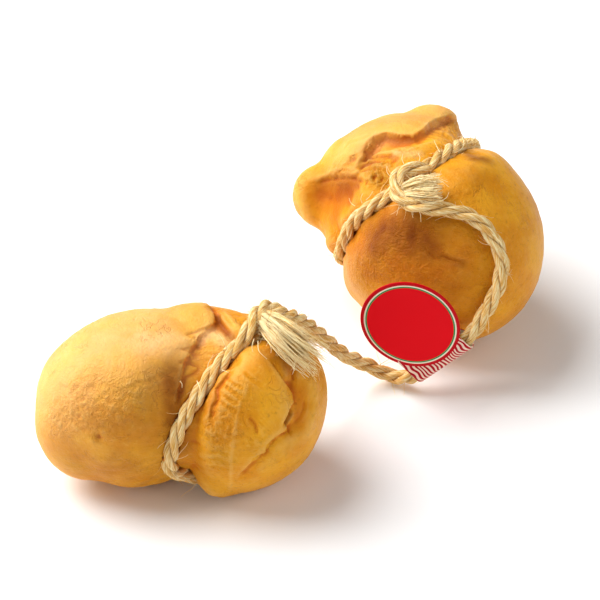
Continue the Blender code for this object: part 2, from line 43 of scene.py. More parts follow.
# The camera, and the same view that the marks on the skin are placed by
camera = {
    "side": 600,
    "elevation": math.radians(38),
    "distance": 1.3,
    "halfWidth": 0.09,  # half the picture's width at one metre
    "sensor": 36.0,
    "farthest": 20.0,
    "centre": Vector((1.4, 43.9, 0.0)) * mm,  # the point of the table in the middle of the picture
}
viewRight = Vector((1, 0, 0))
viewUp = Vector((0, math.sin(camera["elevation"]), math.cos(camera["elevation"])))
viewBack = Vector((0, -math.cos(camera["elevation"]), math.sin(camera["elevation"])))
eye = camera["centre"] + viewBack * camera["distance"]


def linkObject(name, data):
    obj = bpy.data.objects.new(name, data)
    bpy.context.scene.collection.objects.link(obj)
    return obj


def makeCamera():
    data = bpy.data.cameras.new("camera")
    data.sensor_width = camera["sensor"]
    data.lens = camera["sensor"] / 2 / camera["halfWidth"]
    data.clip_end = camera["farthest"]
    obj = linkObject("camera", data)
    obj.location = eye
    obj.rotation_euler = (math.pi / 2 - camera["elevation"], 0, 0)
    bpy.context.scene.camera = obj


makeCamera()
print("camera made")


# Lines of sight
sight = {
    "searched": 0.2,  # how far before and behind the camera's distance
    "closeEnough": 0.05 * mm,
    "leastStep": 0.1 * mm,
}


def sightLine(px, py):
    across = (px * 2 / camera["side"] - 1) * camera["halfWidth"]
    up = (1 - py * 2 / camera["side"]) * camera["halfWidth"]
    return eye, (viewRight * across + viewUp * up - viewBack).normalized()


def inPicture(place):
    # where a point is seen in the picture
    away = Vector(place) - eye
    scale = camera["side"] / 2 / (-away.dot(viewBack) * camera["halfWidth"])
    return camera["side"] / 2 + away.dot(viewRight) * scale, camera["side"] / 2 - away.dot(viewUp) * scale


def onSkin(tree, px, py):
    place, normal, _, _ = tree.ray_cast(*sightLine(px, py))
    if place is None:
        raise ValueError(f"no skin at {px}, {py}")
    return place, normal


def aboveSkin(tree, px, py, height):
    # the first point of the line of sight that is this many millimetres from the skin, or its nearest
    start, direction = sightLine(px, py)
    travelled = camera["distance"] - sight["searched"]
    nearest = (math.inf, start)
    while travelled < camera["distance"] + sight["searched"]:
        place = start + direction * travelled
        spare = tree.find_nearest(place)[3] - height * mm
        if spare < nearest[0]:
            nearest = (spare, place)
        if spare < sight["closeEnough"]:
            break
        travelled += max(spare, sight["leastStep"])
    return nearest[1]


def aboveTable(px, py, height):
    start, direction = sightLine(px, py)
    return start + direction * ((height * mm - start.z) / direction.z)


# Meshes

def bakedMesh(obj, name):
    # the object's mesh with its modifiers applied; the object goes
    bpy.context.view_layer.update()
    mesh = bpy.data.meshes.new_from_object(obj.evaluated_get(bpy.context.evaluated_depsgraph_get()))
    mesh.name = name
    bpy.data.objects.remove(obj, do_unlink=True)
    return mesh


def pointsOf(mesh):
    flat = np.empty(len(mesh.vertices) * 3, np.float32)
    mesh.vertices.foreach_get("co", flat)
    return flat.reshape(-1, 3).astype(float)


def normalsOf(mesh):
    flat = np.empty(len(mesh.vertices) * 3, np.float32)
    mesh.vertices.foreach_get("normal", flat)
    return flat.reshape(-1, 3).astype(float)


def setPoints(mesh, points):
    mesh.vertices.foreach_set("co", points.astype(np.float32).ravel())
    mesh.update()


def setNumbers(mesh, name, values):
    mesh.attributes.new(name, "FLOAT", "POINT").data.foreach_set("value", values.astype(np.float32))


def setVectors(mesh, name, values):
    made = mesh.attributes.new(name, "FLOAT_VECTOR", "POINT")
    made.data.foreach_set("vector", values.astype(np.float32).ravel())


def treeOf(mesh):
    bm = bmesh.new()
    bm.from_mesh(mesh)
    tree = BVHTree.FromBMesh(bm)
    bm.free()
    return tree


def softNoise(points, size, seed):
    # smooth random numbers from -1 to 1, in lumps of about this size: each corner of a grid gets a number from a
    # fixed hash of its place and the seed, and a point takes a share of each of its eight corners
    scaled = points / size + seed * 17.31
    corner = np.floor(scaled).astype(np.int64)
    part = scaled - corner
    part = part * part * (3 - 2 * part)
    total = np.zeros(len(points))
    for dx in (0, 1):
        for dy in (0, 1):
            for dz in (0, 1):
                mixed = (corner[:, 0] + dx) * 73856093 ^ (corner[:, 1] + dy) * 19349663
                mixed = (mixed ^ (corner[:, 2] + dz) * 83492791 ^ (seed + 7) * 26544357) & 0xFFFFFFFF
                mixed = ((mixed ^ (mixed >> 13)) * 1274126177) & 0xFFFFFFFF
                value = ((mixed ^ (mixed >> 16)) & 0xFFFF) / 32767.5 - 1
                share = part[:, 0] if dx else 1 - part[:, 0]
                share = share * (part[:, 1] if dy else 1 - part[:, 1])
                share = share * (part[:, 2] if dz else 1 - part[:, 2])
                total += value * share
    return total


def smoothRoute(points, spacing):
    # even points on the smooth curve through the route's points
    points = [Vector(p) for p in points]
    padded = [points[0] * 2 - points[1]] + points + [points[-1] * 2 - points[-2]]
    fine, steps = [], 12
    for a, b, c, d in zip(padded, padded[1:], padded[2:], padded[3:]):
        for step in range(steps):
            t = step / steps
            bend = 2 * a - 5 * b + 4 * c - d
            twist = 3 * b - 3 * c + d - a
            fine.append(0.5 * (2 * b + (c - a) * t + bend * t**2 + twist * t**3))
    fine = np.array(fine + [points[-1]])
    travelled = np.concatenate([[0], np.cumsum(np.linalg.norm(np.diff(fine, axis=0), axis=1))])
    count = max(2, round(travelled[-1] / spacing) + 1)
    wanted = np.linspace(0, travelled[-1], count)
    return [Vector([np.interp(w, travelled, fine[:, axis]) for axis in range(3)]) for w in wanted]


def routeLength(route):
    return sum((b - a).length for a, b in zip(route, route[1:]))


# Nodes

def addNode(tree, kind, settings=None, inputs=None):
    # inputs are given by name or number: a socket is linked, a node stands for its first output, and anything
    # else is the input's value
    node = tree.nodes.new(kind)
    for name, value in (settings or {}).items():
        setattr(node, name, value)
    for name, value in (inputs or {}).items():
        if isinstance(value, bpy.types.Node):
            value = value.outputs[0]
        if isinstance(value, bpy.types.NodeSocket):
            tree.links.new(value, node.inputs[name])
        else:
            node.inputs[name].default_value = value
    return node


# settings that many nodes share
plus, minus, times, over = ({"operation": name} for name in ("ADD", "SUBTRACT", "MULTIPLY", "DIVIDE"))
sine, cosine, power = ({"operation": name} for name in ("SINE", "COSINE", "POWER"))
scaled, crossed, dotted = ({"operation": name} for name in ("SCALE", "CROSS_PRODUCT", "DOT_PRODUCT"))
numbers, vectors = {"data_type": "FLOAT"}, {"data_type": "FLOAT_VECTOR"}
pointNumbers, pointVectors = {**numbers, "domain": "POINT"}, {**vectors, "domain": "POINT"}
copyNumbers = {**numbers, "domain": "INSTANCE"}
colours = {"data_type": "RGBA"}
smoothly = {"interpolation_type": "SMOOTHSTEP"}


def colour(hexText):
    # an sRGB hex colour as linear numbers
    parts = [int(hexText[i:i + 2], 16) / 255 for i in (1, 3, 5)]
    return tuple(p / 12.92 if p <= 0.04045 else ((p + 0.055) / 1.055) ** 2.4 for p in parts) + (1.0,)


def geometryTree(name, wanted):
    # a geometry tree with these inputs after its geometry, and the node that has them
    tree = bpy.data.node_groups.new(name, "GeometryNodeTree")
    tree.interface.new_socket("Geometry", in_out="INPUT", socket_type="NodeSocketGeometry")
    for title, kind in wanted:
        tree.interface.new_socket(title, in_out="INPUT", socket_type="NodeSocket" + kind)
    tree.interface.new_socket("Geometry", in_out="OUTPUT", socket_type="NodeSocketGeometry")
    return tree, addNode(tree, "NodeGroupInput")


def endTree(tree, given, geometry):
    smooth = addNode(tree, "GeometryNodeSetShadeSmooth", None, {"Geometry": geometry})
    real = addNode(tree, "GeometryNodeRealizeInstances", None, {"Geometry": smooth})
    finish = addNode(tree, "GeometryNodeSetMaterial", None, {
        "Geometry": real, "Material": given.outputs["Material"]})
    addNode(tree, "NodeGroupOutput", None, {"Geometry": finish})
    return tree


def grownMesh(host, tree, values, name):
    # what the tree makes of a mesh
    obj = linkObject(name + "Guide", host)
    modifier = obj.modifiers.new("nodes", "NODES")
    modifier.node_group = tree
    for item in tree.interface.items_tree:
        if item.in_out == "INPUT" and item.name in values:
            modifier[item.identifier] = values[item.name]
    return overTable(bakedMesh(obj, name))


def overTable(mesh):
    # nothing goes through the table
    points = pointsOf(mesh)
    points[:, 2] = np.maximum(points[:, 2], 0.0)
    setPoints(mesh, points)
    return mesh


def joinedObject(name, meshes):
    # one object of several meshes, which keep their attributes and materials
    objects = [linkObject(name, mesh) for mesh in meshes]
    if len(objects) > 1:
        with bpy.context.temp_override(
            active_object=objects[0], object=objects[0], selected_objects=objects, selected_editable_objects=objects
        ):
            bpy.ops.object.join()
    objects[0].name = name
    return objects[0]


def lineMesh(name, lines, closed=False):
    # lines of points as a mesh of edges, with how far along its line each point is, from 0 to 1
    mesh = bpy.data.meshes.new(name)
    points, edges, shares = [], [], []
    for line in lines:
        first = len(points)
        points += [tuple(p) for p in line]
        shares += [i / (len(line) - 1) for i in range(len(line))]
        edges += [(first + i, first + i + 1) for i in range(len(line) - 1)]
        if closed:
            edges.append((first + len(line) - 1, first))
    mesh.from_pydata(points, edges, [])
    setNumbers(mesh, "share", np.array(shares))
    return mesh


# Finishes

def newFinish(name, surface):
    # a material whose shader has these numbers on its own sockets
    made = bpy.data.materials.new(name)
    made.use_nodes = True
    shader = made.node_tree.nodes["Principled BSDF"]
    for socket, value in surface.items():
        shader.inputs[socket].default_value = value
    return made, made.node_tree, shader


def layColours(tree, finish, base, shown):
    # lays the finish's colours over its base colour, each one where its pattern or mark shows
    shade = colour(finish[base])
    for name, pattern, *limits in finish["layers"]:
        share = shown[pattern]
        if limits:
            low, high, top = limits
            share = addNode(tree, "ShaderNodeMapRange", smoothly, {
                "Value": share, "From Min": low, "From Max": high, "To Max": top})
        shade = addNode(tree, "ShaderNodeMix", colours, {0: share, 6: shade, 7: colour(finish[name])}).outputs[2]
    return shade


# Smoked scamorza skin: stretched curd that was hung in wood smoke, a thin waxy rind, satin, that light goes
# a few millimetres into. It is golden where the smoke reached it. The deeper orange in its folds and hollows is
# painted shade, and the paler colour on its ridges and lit tops is painted highlight.
skinFinish = {
    # fold is painted shade in hollows and wrinkles, edge is painted highlight on ridges, pale is painted highlight
    # from the tints; brown and red are the smoke's own colour and also painted shade
    "gold": "#EEA824", "amber": "#E09012", "fold": "#C25C02", "edge": "#FACC74",
    "brown": "#763000", "red": "#C66000", "pale": "#F8C888", "speck": "#F2BC4C",
    "patterns": {  # size in mm, detail, roughness and distortion of each noise
        "clouds": (17.0, 3.0, 0.5, 0.0), "patches": (11.9, 2.0, 0.5, 0.0), "folds": (4.2, 3.0, 0.5, 0.6),
        "speckles": (1.5, 3.0, 0.6, 0.0), "streaks": (0.9, 2.0, 0.5, 0.0), "peel": (0.9, 3.0, 0.6, 0.0),
    },
    "layers": (  # colour, what places it, and for a pattern where it starts, where it is full, and its most
        ("amber", "clouds", 0.36, 0.66, 1.0),
        # painted shade along the fine wrinkle lines
        ("fold", "wrinkled"),
        ("amber", "streaks", 0.35, 0.75, 0.30),
        ("brown", "speckles", 0.52, 0.80, 0.30),
        ("speck", "speckles", 0.46, 0.24, 0.35),
        # painted shade: hollows darkened to the fold colour
        ("fold", "hollow", 0.08, 1.1, 0.75),
        # painted highlight: ridges, which stand above the skin round them, lightened to the edge colour
        ("edge", "hollow", -0.1, -0.9, 0.36),
        # tints: pale is painted highlight, red and brown are the smoke's own colour and painted shade
        ("pale", "pale"), ("red", "red"), ("brown", "brown"),
    ),
    "wrinkleWidth": 0.05, "wrinkledFrom": 0.50, "wrinkledTo": 0.66, "wrinkleShade": 0.14, "wrinkleDepth": 0.6,
    "peelDepth": 0.6, "roughPeel": 1.6, "streakDepth": 0.3,
    "bump": 0.7 * mm, "bumpStrength": 0.7,
    "surface": {
        "Roughness": 0.46, "Subsurface Weight": 0.12, "Subsurface Radius": (1.0, 0.55, 0.15),
        "Subsurface Scale": 2.2 * mm, "Specular IOR Level": 0.22, "Specular Tint": (1.0, 0.82, 0.5, 1.0),
    },
}


def makeSkin():
    made, tree, shader = newFinish("smoked scamorza skin", skinFinish["surface"])
    place = addNode(tree, "ShaderNodeTexCoord").outputs["Object"]
    flow = addNode(tree, "ShaderNodeAttribute", {"attribute_name": "flow"}).outputs["Vector"]
    shown = {}
    # the hollowness and the tints, which place painted shade and painted highlight, the tints the smoke's own colour
    # too; rough marks the cobbled patches
    for name in ("hollow", "rough", "pale", "red", "brown"):
        shown[name] = addNode(tree, "ShaderNodeAttribute", {"attribute_name": name}).outputs["Fac"]
    for name, (size, detail, roughness, distortion) in skinFinish["patterns"].items():
        shown[name] = addNode(tree, "ShaderNodeTexNoise", None, {
            "Vector": flow if name == "streaks" else place, "Scale": 1 / (size * mm), "Detail": detail,
            "Roughness": roughness, "Distortion": distortion})

    # fine wrinkles: thin lines where a noise crosses its middle, in patches. The colour is darkened along them as
    # painted shade, and the relief dents them.
    swing = addNode(tree, "ShaderNodeMath", minus, {0: shown["folds"], 1: 0.5})
    swing = addNode(tree, "ShaderNodeMath", {"operation": "ABSOLUTE"}, {0: swing})
    lines = addNode(tree, "ShaderNodeMapRange", smoothly, {
        "Value": swing, "From Min": skinFinish["wrinkleWidth"], "From Max": 0.0})
    patches = addNode(tree, "ShaderNodeMapRange", smoothly, {
        "Value": shown["patches"], "From Min": skinFinish["wrinkledFrom"], "From Max": skinFinish["wrinkledTo"]})
    wrinkles = addNode(tree, "ShaderNodeMath", times, {0: lines, 1: patches})
    shown["wrinkled"] = addNode(tree, "ShaderNodeMath", times, {0: wrinkles, 1: skinFinish["wrinkleShade"]})

    # relief: an orange-peel grain that is deeper on the cobbled patches, streaks and wrinkles
    grain = addNode(tree, "ShaderNodeMath", times, {0: shown["rough"], 1: skinFinish["roughPeel"]})
    grain = addNode(tree, "ShaderNodeMath", plus, {0: skinFinish["peelDepth"], 1: grain})
    grain = addNode(tree, "ShaderNodeMath", times, {0: shown["peel"], 1: grain})
    streaks = addNode(tree, "ShaderNodeMath", times, {0: shown["streaks"], 1: skinFinish["streakDepth"]})
    raised = addNode(tree, "ShaderNodeMath", plus, {0: grain, 1: streaks})
    dents = addNode(tree, "ShaderNodeMath", times, {0: wrinkles, 1: skinFinish["wrinkleDepth"]})
    relief = addNode(tree, "ShaderNodeMath", minus, {0: raised, 1: dents})
    bump = addNode(tree, "ShaderNodeBump", None, {
        "Height": relief, "Distance": skinFinish["bump"], "Strength": skinFinish["bumpStrength"]})
    tree.links.new(layColours(tree, skinFinish, "gold", shown), shader.inputs["Base Color"])
    tree.links.new(bump.outputs[0], shader.inputs["Normal"])
    return made


# Sisal twine: combed leaf fibre laid up dry, so matt, straw-coloured, streaked along each strand; the darker colour
# in the gaps between strands is painted shade
twineFinish = {
    "deep": "#96540E", "straw": "#E8B25A", "pale": "#FFEBB4",
    "patterns": {"threads": (0.42, 3.0, 0.7), "locks": (1.5, 2.0, 0.3)},  # size in mm, detail and weight
    "noiseRoughness": 0.6,
    "toneWeight": 0.35,
    "layers": (
        ("pale", "fibres", 0.42, 0.62, 1.0),
        ("deep", "fibres", 0.45, 0.30, 0.8),
        # painted shade: the twine darkened where its surface turns in between the strands
        ("deep", "outer", 0.1, -0.7, 0.55),
    ),
    "bump": 0.9 * mm, "bumpStrength": 0.9,
    "surface": {
        "Roughness": 0.8, "Subsurface Weight": 0.12, "Subsurface Radius": (1.0, 0.7, 0.35),
        "Subsurface Scale": 1.6 * mm, "Specular IOR Level": 0.25,
    },
}


def makeTwineFinish():
    made, tree, shader = newFinish("laid sisal twine", twineFinish["surface"])
    fibre = addNode(tree, "ShaderNodeAttribute", {"attribute_name": "fibre"}).outputs["Vector"]
    tone = addNode(tree, "ShaderNodeAttribute", {"attribute_name": "tone"}).outputs["Fac"]
    outer = addNode(tree, "ShaderNodeAttribute", {"attribute_name": "outer"}).outputs["Fac"]
    noises, weighed = {}, {}
    for name, (size, detail, weight) in twineFinish["patterns"].items():
        noises[name] = addNode(tree, "ShaderNodeTexNoise", None, {
            "Vector": fibre, "Scale": 1 / size, "Detail": detail, "Roughness": twineFinish["noiseRoughness"]})
        weighed[name] = addNode(tree, "ShaderNodeMath", times, {0: noises[name], 1: weight})
    fibres = addNode(tree, "ShaderNodeMath", plus, {0: weighed["threads"], 1: weighed["locks"]})
    toned = addNode(tree, "ShaderNodeMath", minus, {0: tone, 1: 0.5})
    toned = addNode(tree, "ShaderNodeMath", times, {0: toned, 1: twineFinish["toneWeight"]})
    fibres = addNode(tree, "ShaderNodeMath", plus, {0: fibres, 1: toned})
    bump = addNode(tree, "ShaderNodeBump", None, {
        "Height": noises["threads"], "Distance": twineFinish["bump"], "Strength": twineFinish["bumpStrength"]})
    shade = layColours(tree, twineFinish, "straw", {"fibres": fibres, "outer": outer})
    tree.links.new(shade, shader.inputs["Base Color"])
    tree.links.new(bump.outputs[0], shader.inputs["Normal"])
    return made


# Coated label card: offset-printed, a smooth satin face, and its printed border is a darker red
cardFinish = {
    "red": "#F00216", "border": "#CC0418", "cream": "#FBF3DC", "green": "#2F9455", "back": "#F3EFE6",
    "stripRed": "#B80A1E", "stripCream": "#F8DCC8",
    "rings": (("green", 0.872), ("cream", 0.902), ("border", 0.930)),  # where each starts, as a share of the way out
    "ringBlur": 0.004,
    "waves": {"Scale": 0.22, "Distortion": 6.0, "Detail": 0.0, "Detail Scale": 0.9},
    "waveFrom": 0.48, "waveTo": 0.64,
    "surface": {"Roughness": 0.42, "Specular IOR Level": 0.08},
}


def makeCard(name, pattern):
    made, tree, shader = newFinish(name, cardFinish["surface"])
    if pattern == "bare":
        shader.inputs["Base Color"].default_value = colour(cardFinish["back"])
        return made
    place = addNode(tree, "ShaderNodeUVMap", {"uv_map": "print"}).outputs["UV"]
    if pattern == "oval":
        far = addNode(tree, "ShaderNodeVectorMath", {"operation": "LENGTH"}, {0: place}).outputs["Value"]
        shade = colour(cardFinish["red"])
        for ring, start in cardFinish["rings"]:
            share = addNode(tree, "ShaderNodeMapRange", smoothly, {
                "Value": far, "From Min": start - cardFinish["ringBlur"], "From Max": start + cardFinish["ringBlur"]})
            shade = addNode(tree, "ShaderNodeMix", colours, {
                0: share, 6: shade, 7: colour(cardFinish[ring])}).outputs[2]
    else:
        bands = addNode(tree, "ShaderNodeTexWave", {"wave_type": "BANDS", "bands_direction": "Y"},
                        {"Vector": place, **cardFinish["waves"]})
        share = addNode(tree, "ShaderNodeMapRange", smoothly, {
            "Value": bands.outputs[1], "From Min": cardFinish["waveFrom"], "From Max": cardFinish["waveTo"]})
        shade = addNode(tree, "ShaderNodeMix", colours, {
            0: share, 6: colour(cardFinish["stripRed"]), 7: colour(cardFinish["stripCream"])}).outputs[2]
    tree.links.new(shade, shader.inputs["Base Color"])
    return made


skinMaterial = makeSkin()
twineMaterial = makeTwineFinish()
cardMaterials = [makeCard("printed card", "oval"), makeCard("bare card back", "bare")]
stripMaterials = [makeCard("printed card strip", "curls"), makeCard("bare strip back", "bare")]
print("finishes made")


# Cheese: what the two share, then each one's lumps, its neck and the marks on its skin

cheese = {
    "lumpVoxel": 1.5 * mm,
    "lumpSmoothing": 12,
    "skinVoxel": 0.60 * mm,
    "skinSmoothing": 5,
    "neckDepth": 3.2 * mm,
    "neckWidth": 6.0 * mm,
    "neckSwell": 0.28,  # of the skin beside the neck, as a share of its depth
    "neckSwellAt": 2.1,  # in neck widths
    "sink": 0.9 * mm,  # how much of the underside the cheese's weight flattens
    "levelWithin": 0.12 * mm,
    "neckWithin": 1.1 * mm,  # of the loop's plane, where the neck's middle is found
    "edgeWidth": {"ledge": 1.2 * mm, "softDrop": 1.2 * mm, "step": 0.45 * mm, "drop": 0.45 * mm},
    "ledgeFoot": -0.25,  # how far the skin dips at the foot, as a share of the height
    "markSpacing": 1.5,  # picture points
    "markReach": 3.2,  # in half widths
    "creaseLip": 0.3,  # of the skin beside a crease, as a share of its depth
    "creaseLipAt": 1.9,  # in half widths
    "pleatWidth": 5.0 * mm,
    "pleatHeight": 2.0 * mm,
    "pleatReach": 13.0 * mm,
    "pleatReachSize": 11 * mm,  # of the noise that varies the reach
    "pleatStart": 2.5 * mm,  # the pleats come up within this of the loop
    "pleatsShown": 0.2,  # how much of their height is left where the picture shows the skin
    "neckRadius": 25,  # mm, at which the ways round the neck are measured
    "flatUnder": 1.5 * mm,  # below this height the relief fades out
    "hollows": ((10, 1.6), (60, 0.55)),  # rounds of softening and weight, for fine folds and for broad ones, of the hollowness that places painted shade and painted highlight
    "lumpiness": ((16.0, 0.30), (6.5, 0.16), (2.8, 0.08)),  # size and height, mm
    "peel": ((1.5, 0.06),),
}

# lumps: centre, half sizes and turn about Y and Z in degrees, in mm from the view's centre
# marks: kind, half width and amount in mm, and the line that it follows in the picture. A ridge is raised, and a
# groove, pit or crease is lowered. Of the edges, a ledge or step raises the skin on the left of its line, and a
# softDrop or drop lowers it on the right.
# cobbles: place in the picture, radius, grain and height in mm
# tints: colour, half width in mm, amount, and the line in the picture. The pale ones are painted highlight, and the
# brown and red ones are partly the smoke's own colour and partly painted shade.
leftCheese = {
    "lumps": (
        ((-56.2, -96.5, 31.3), (39.8, 32.0, 32.0), (0, 12)),
        ((-75.0, -104.3, 26.6), (20.8, 20.5, 22.6), (0, 0)),
        ((-19.2, -99.5, 30.8), (28.8, 31.2, 31.5), (0, -10)),
        ((-37.0, -85.3, 44.8), (22.0, 15.8, 17.6), (0, 0)),
        ((-29.0, -112.6, 14.0), (13.0, 11.5, 13.0), (0, 0)),
    ),
    "ring": ((187, 472), (190, 398), (254, 330)),
    "bow": ((203, 483), 4.0, 32),  # where the loop leaves its plane, how far in mm and over how many degrees
    "marks": (
        ("groove", 7.0, 1.3, ((173, 375), (174, 415), (176, 440))),
        ("softDrop", 6.0, 1.5, ((180, 388), (184, 366), (190, 350), (200, 334), (214, 322), (214, 308), (206, 300))),
        ("groove", 2.6, 0.5, ((178, 351), (192, 346))),
        ("groove", 2.6, 0.5, ((174, 365), (196, 361))),
        ("groove", 2.2, 1.1, ((212, 307), (220, 325), (232, 338))),
        ("ridge", 2.4, 0.5, ((222, 311), (233, 323), (243, 331))),
        ("groove", 3.0, 1.1, ((227, 365), (234, 361))),
        ("softDrop", 3.0, 0.9, ((209, 414), (213, 398), (214, 388), (226, 374))),
        ("ridge", 3.0, 0.3, ((236, 425), (233, 445), (231, 485))),
        ("softDrop", 3.4, 1.2, ((243, 472), (252, 463), (265, 451), (272, 440), (286, 430))),
        ("groove", 4.6, 2.2, ((297, 388), (302, 405), (297, 424))),
        ("groove", 2.2, 1.0, ((294, 366), (294, 382))),
        ("ridge", 4.0, 0.7, ((314, 385), (316, 410), (307, 432))),
        ("groove", 3.0, 0.5, ((256, 420), (255, 434))),
    ),
    "fineMarks": (
        ("drop", 2.2, 0.6, ((180, 387), (184, 376), (192, 372), (196, 369), (190, 366), (180, 364), (178, 361),
                            (184, 358), (191, 355), (186, 352), (177, 349), (186, 347), (196, 344), (198, 341),
                            (190, 338), (184, 334), (196, 330), (209, 325), (217, 321), (216, 315), (211, 309),
                            (205, 303))),
        ("crease", 0.9, 0.6, ((214, 311), (219, 322), (230, 336))),
        ("crease", 0.6, 0.3, ((221, 311), (228, 320), (235, 328))),
        ("crease", 0.5, 0.22, ((204, 337), (214, 336), (226, 343))),
        ("crease", 0.5, 0.22, ((202, 345), (213, 344), (224, 349))),
        ("crease", 0.5, 0.22, ((204, 330), (213, 330), (222, 336))),
        ("crease", 0.5, 0.22, ((196, 356), (206, 354), (214, 355))),
        ("drop", 1.8, 0.7, ((209, 414), (210, 406), (216, 399), (214, 388), (220, 382), (226, 374))),
        ("crease", 0.6, 0.35, ((226, 377), (234, 384), (243, 389))),
        ("crease", 0.6, 0.35, ((224, 385), (233, 392), (240, 397))),
        ("crease", 0.6, 0.35, ((221, 393), (230, 400), (237, 405))),
        ("crease", 0.6, 0.3, ((219, 401), (228, 408), (236, 412))),
        ("crease", 0.6, 0.3, ((244, 372), (252, 380), (262, 386))),
        ("ridge", 0.8, 0.18, ((247, 386), (242, 398), (238, 411), (235, 425))),
        ("ridge", 0.8, 0.26, ((236, 424), (234, 440), (231, 458), (231, 490))),
        ("drop", 1.6, 0.6, ((242, 472), (251, 463), (252, 459), (259, 455), (265, 452), (266, 445), (272, 440),
                            (277, 435), (287, 430))),
        ("drop", 2.2, 0.9, ((287, 430), (285, 422), (289, 409), (294, 402), (293, 393), (284, 381), (274, 367))),
        ("crease", 0.9, 0.8, ((284, 426), (289, 416), (293, 408))),
        ("crease", 0.8, 0.5, ((294, 366), (293, 374), (294, 381))),
        ("crease", 0.7, 0.4, ((305, 398), (304, 408), (300, 417), (294, 423))),
        ("crease", 0.7, 0.5, ((249, 417), (255, 425), (258, 435))),
        ("crease", 0.6, 0.35, ((248, 436), (252, 441), (252, 447))),
        ("crease", 0.6, 0.25, ((208, 453), (218, 452), (228, 455))),
        ("crease", 0.6, 0.25, ((206, 459), (218, 459), (228, 463))),
        ("crease", 0.6, 0.25, ((209, 466), (219, 467), (228, 470))),
        ("crease", 0.9, 0.2, ((110, 395), (140, 384), (180, 370))),
        ("pit", 1.5, 0.9, ((98, 438),)),
    ),
    "cobbles": (((217, 431), 7.5, 1.5, 0.28), ((218, 461), 6.0, 1.4, 0.12), ((234, 396), 7.0, 1.4, 0.12),
                ((262, 448), 6.0, 1.5, 0.12), ((212, 345), 7.5, 1.3, 0.2), ((88, 402), 13.0, 1.9, 0.22),
                ((118, 396), 10.0, 1.7, 0.2), ((64, 418), 9.0, 1.8, 0.2)),
    # painted shade: the brown and red tints that follow grooves, creases and drops, lie beside the loop, below the
    # knot and its frayed end, and darken the low side of the body; the broad brown patches are also the smoke's own
    # colour, and the small red spot is the skin's own. The pale tints are painted highlight on the lit top and left.
    "tints": (
        ("brown", 6.0, 0.75, ((173, 378), (173, 415), (176, 445))),
        ("brown", 14.0, 0.36, ((150, 388), (152, 415), (162, 445))),
        ("brown", 3.6, 0.4, ((98, 438),)),
        ("brown", 9.0, 0.30, ((104, 424), (132, 422))),
        ("brown", 10.0, 0.20, ((105, 455), (150, 458))),
        ("brown", 7.5, 0.24, ((212, 402), (211, 430), (219, 454))),
        ("red", 2.2, 0.8, ((229, 364),)),
        ("brown", 1.6, 0.6, ((217, 318), (225, 330), (236, 342))),
        ("red", 2.0, 0.5, ((214, 310), (220, 324), (228, 334))),
        ("pale", 4.0, 0.65, ((201, 338), (212, 334), (224, 340))),
        ("brown", 4.5, 0.9, ((260, 330), (270, 336), (280, 340))),
        ("red", 3.4, 0.6, ((299, 392), (302, 404), (297, 420))),
        ("red", 2.4, 0.45, ((225, 378), (215, 392), (212, 408))),
        ("brown", 1.2, 0.7, ((285, 424), (290, 415))),
        ("brown", 5.0, 0.35, ((270, 352), (284, 362))),
        ("pale", 22.0, 0.5, ((52, 384), (80, 350), (140, 326))),
        ("pale", 8.0, 0.75, ((140, 342), (170, 341))),
        ("brown", 16.0, 0.35, ((90, 470), (130, 472), (165, 465))),
    ),
}
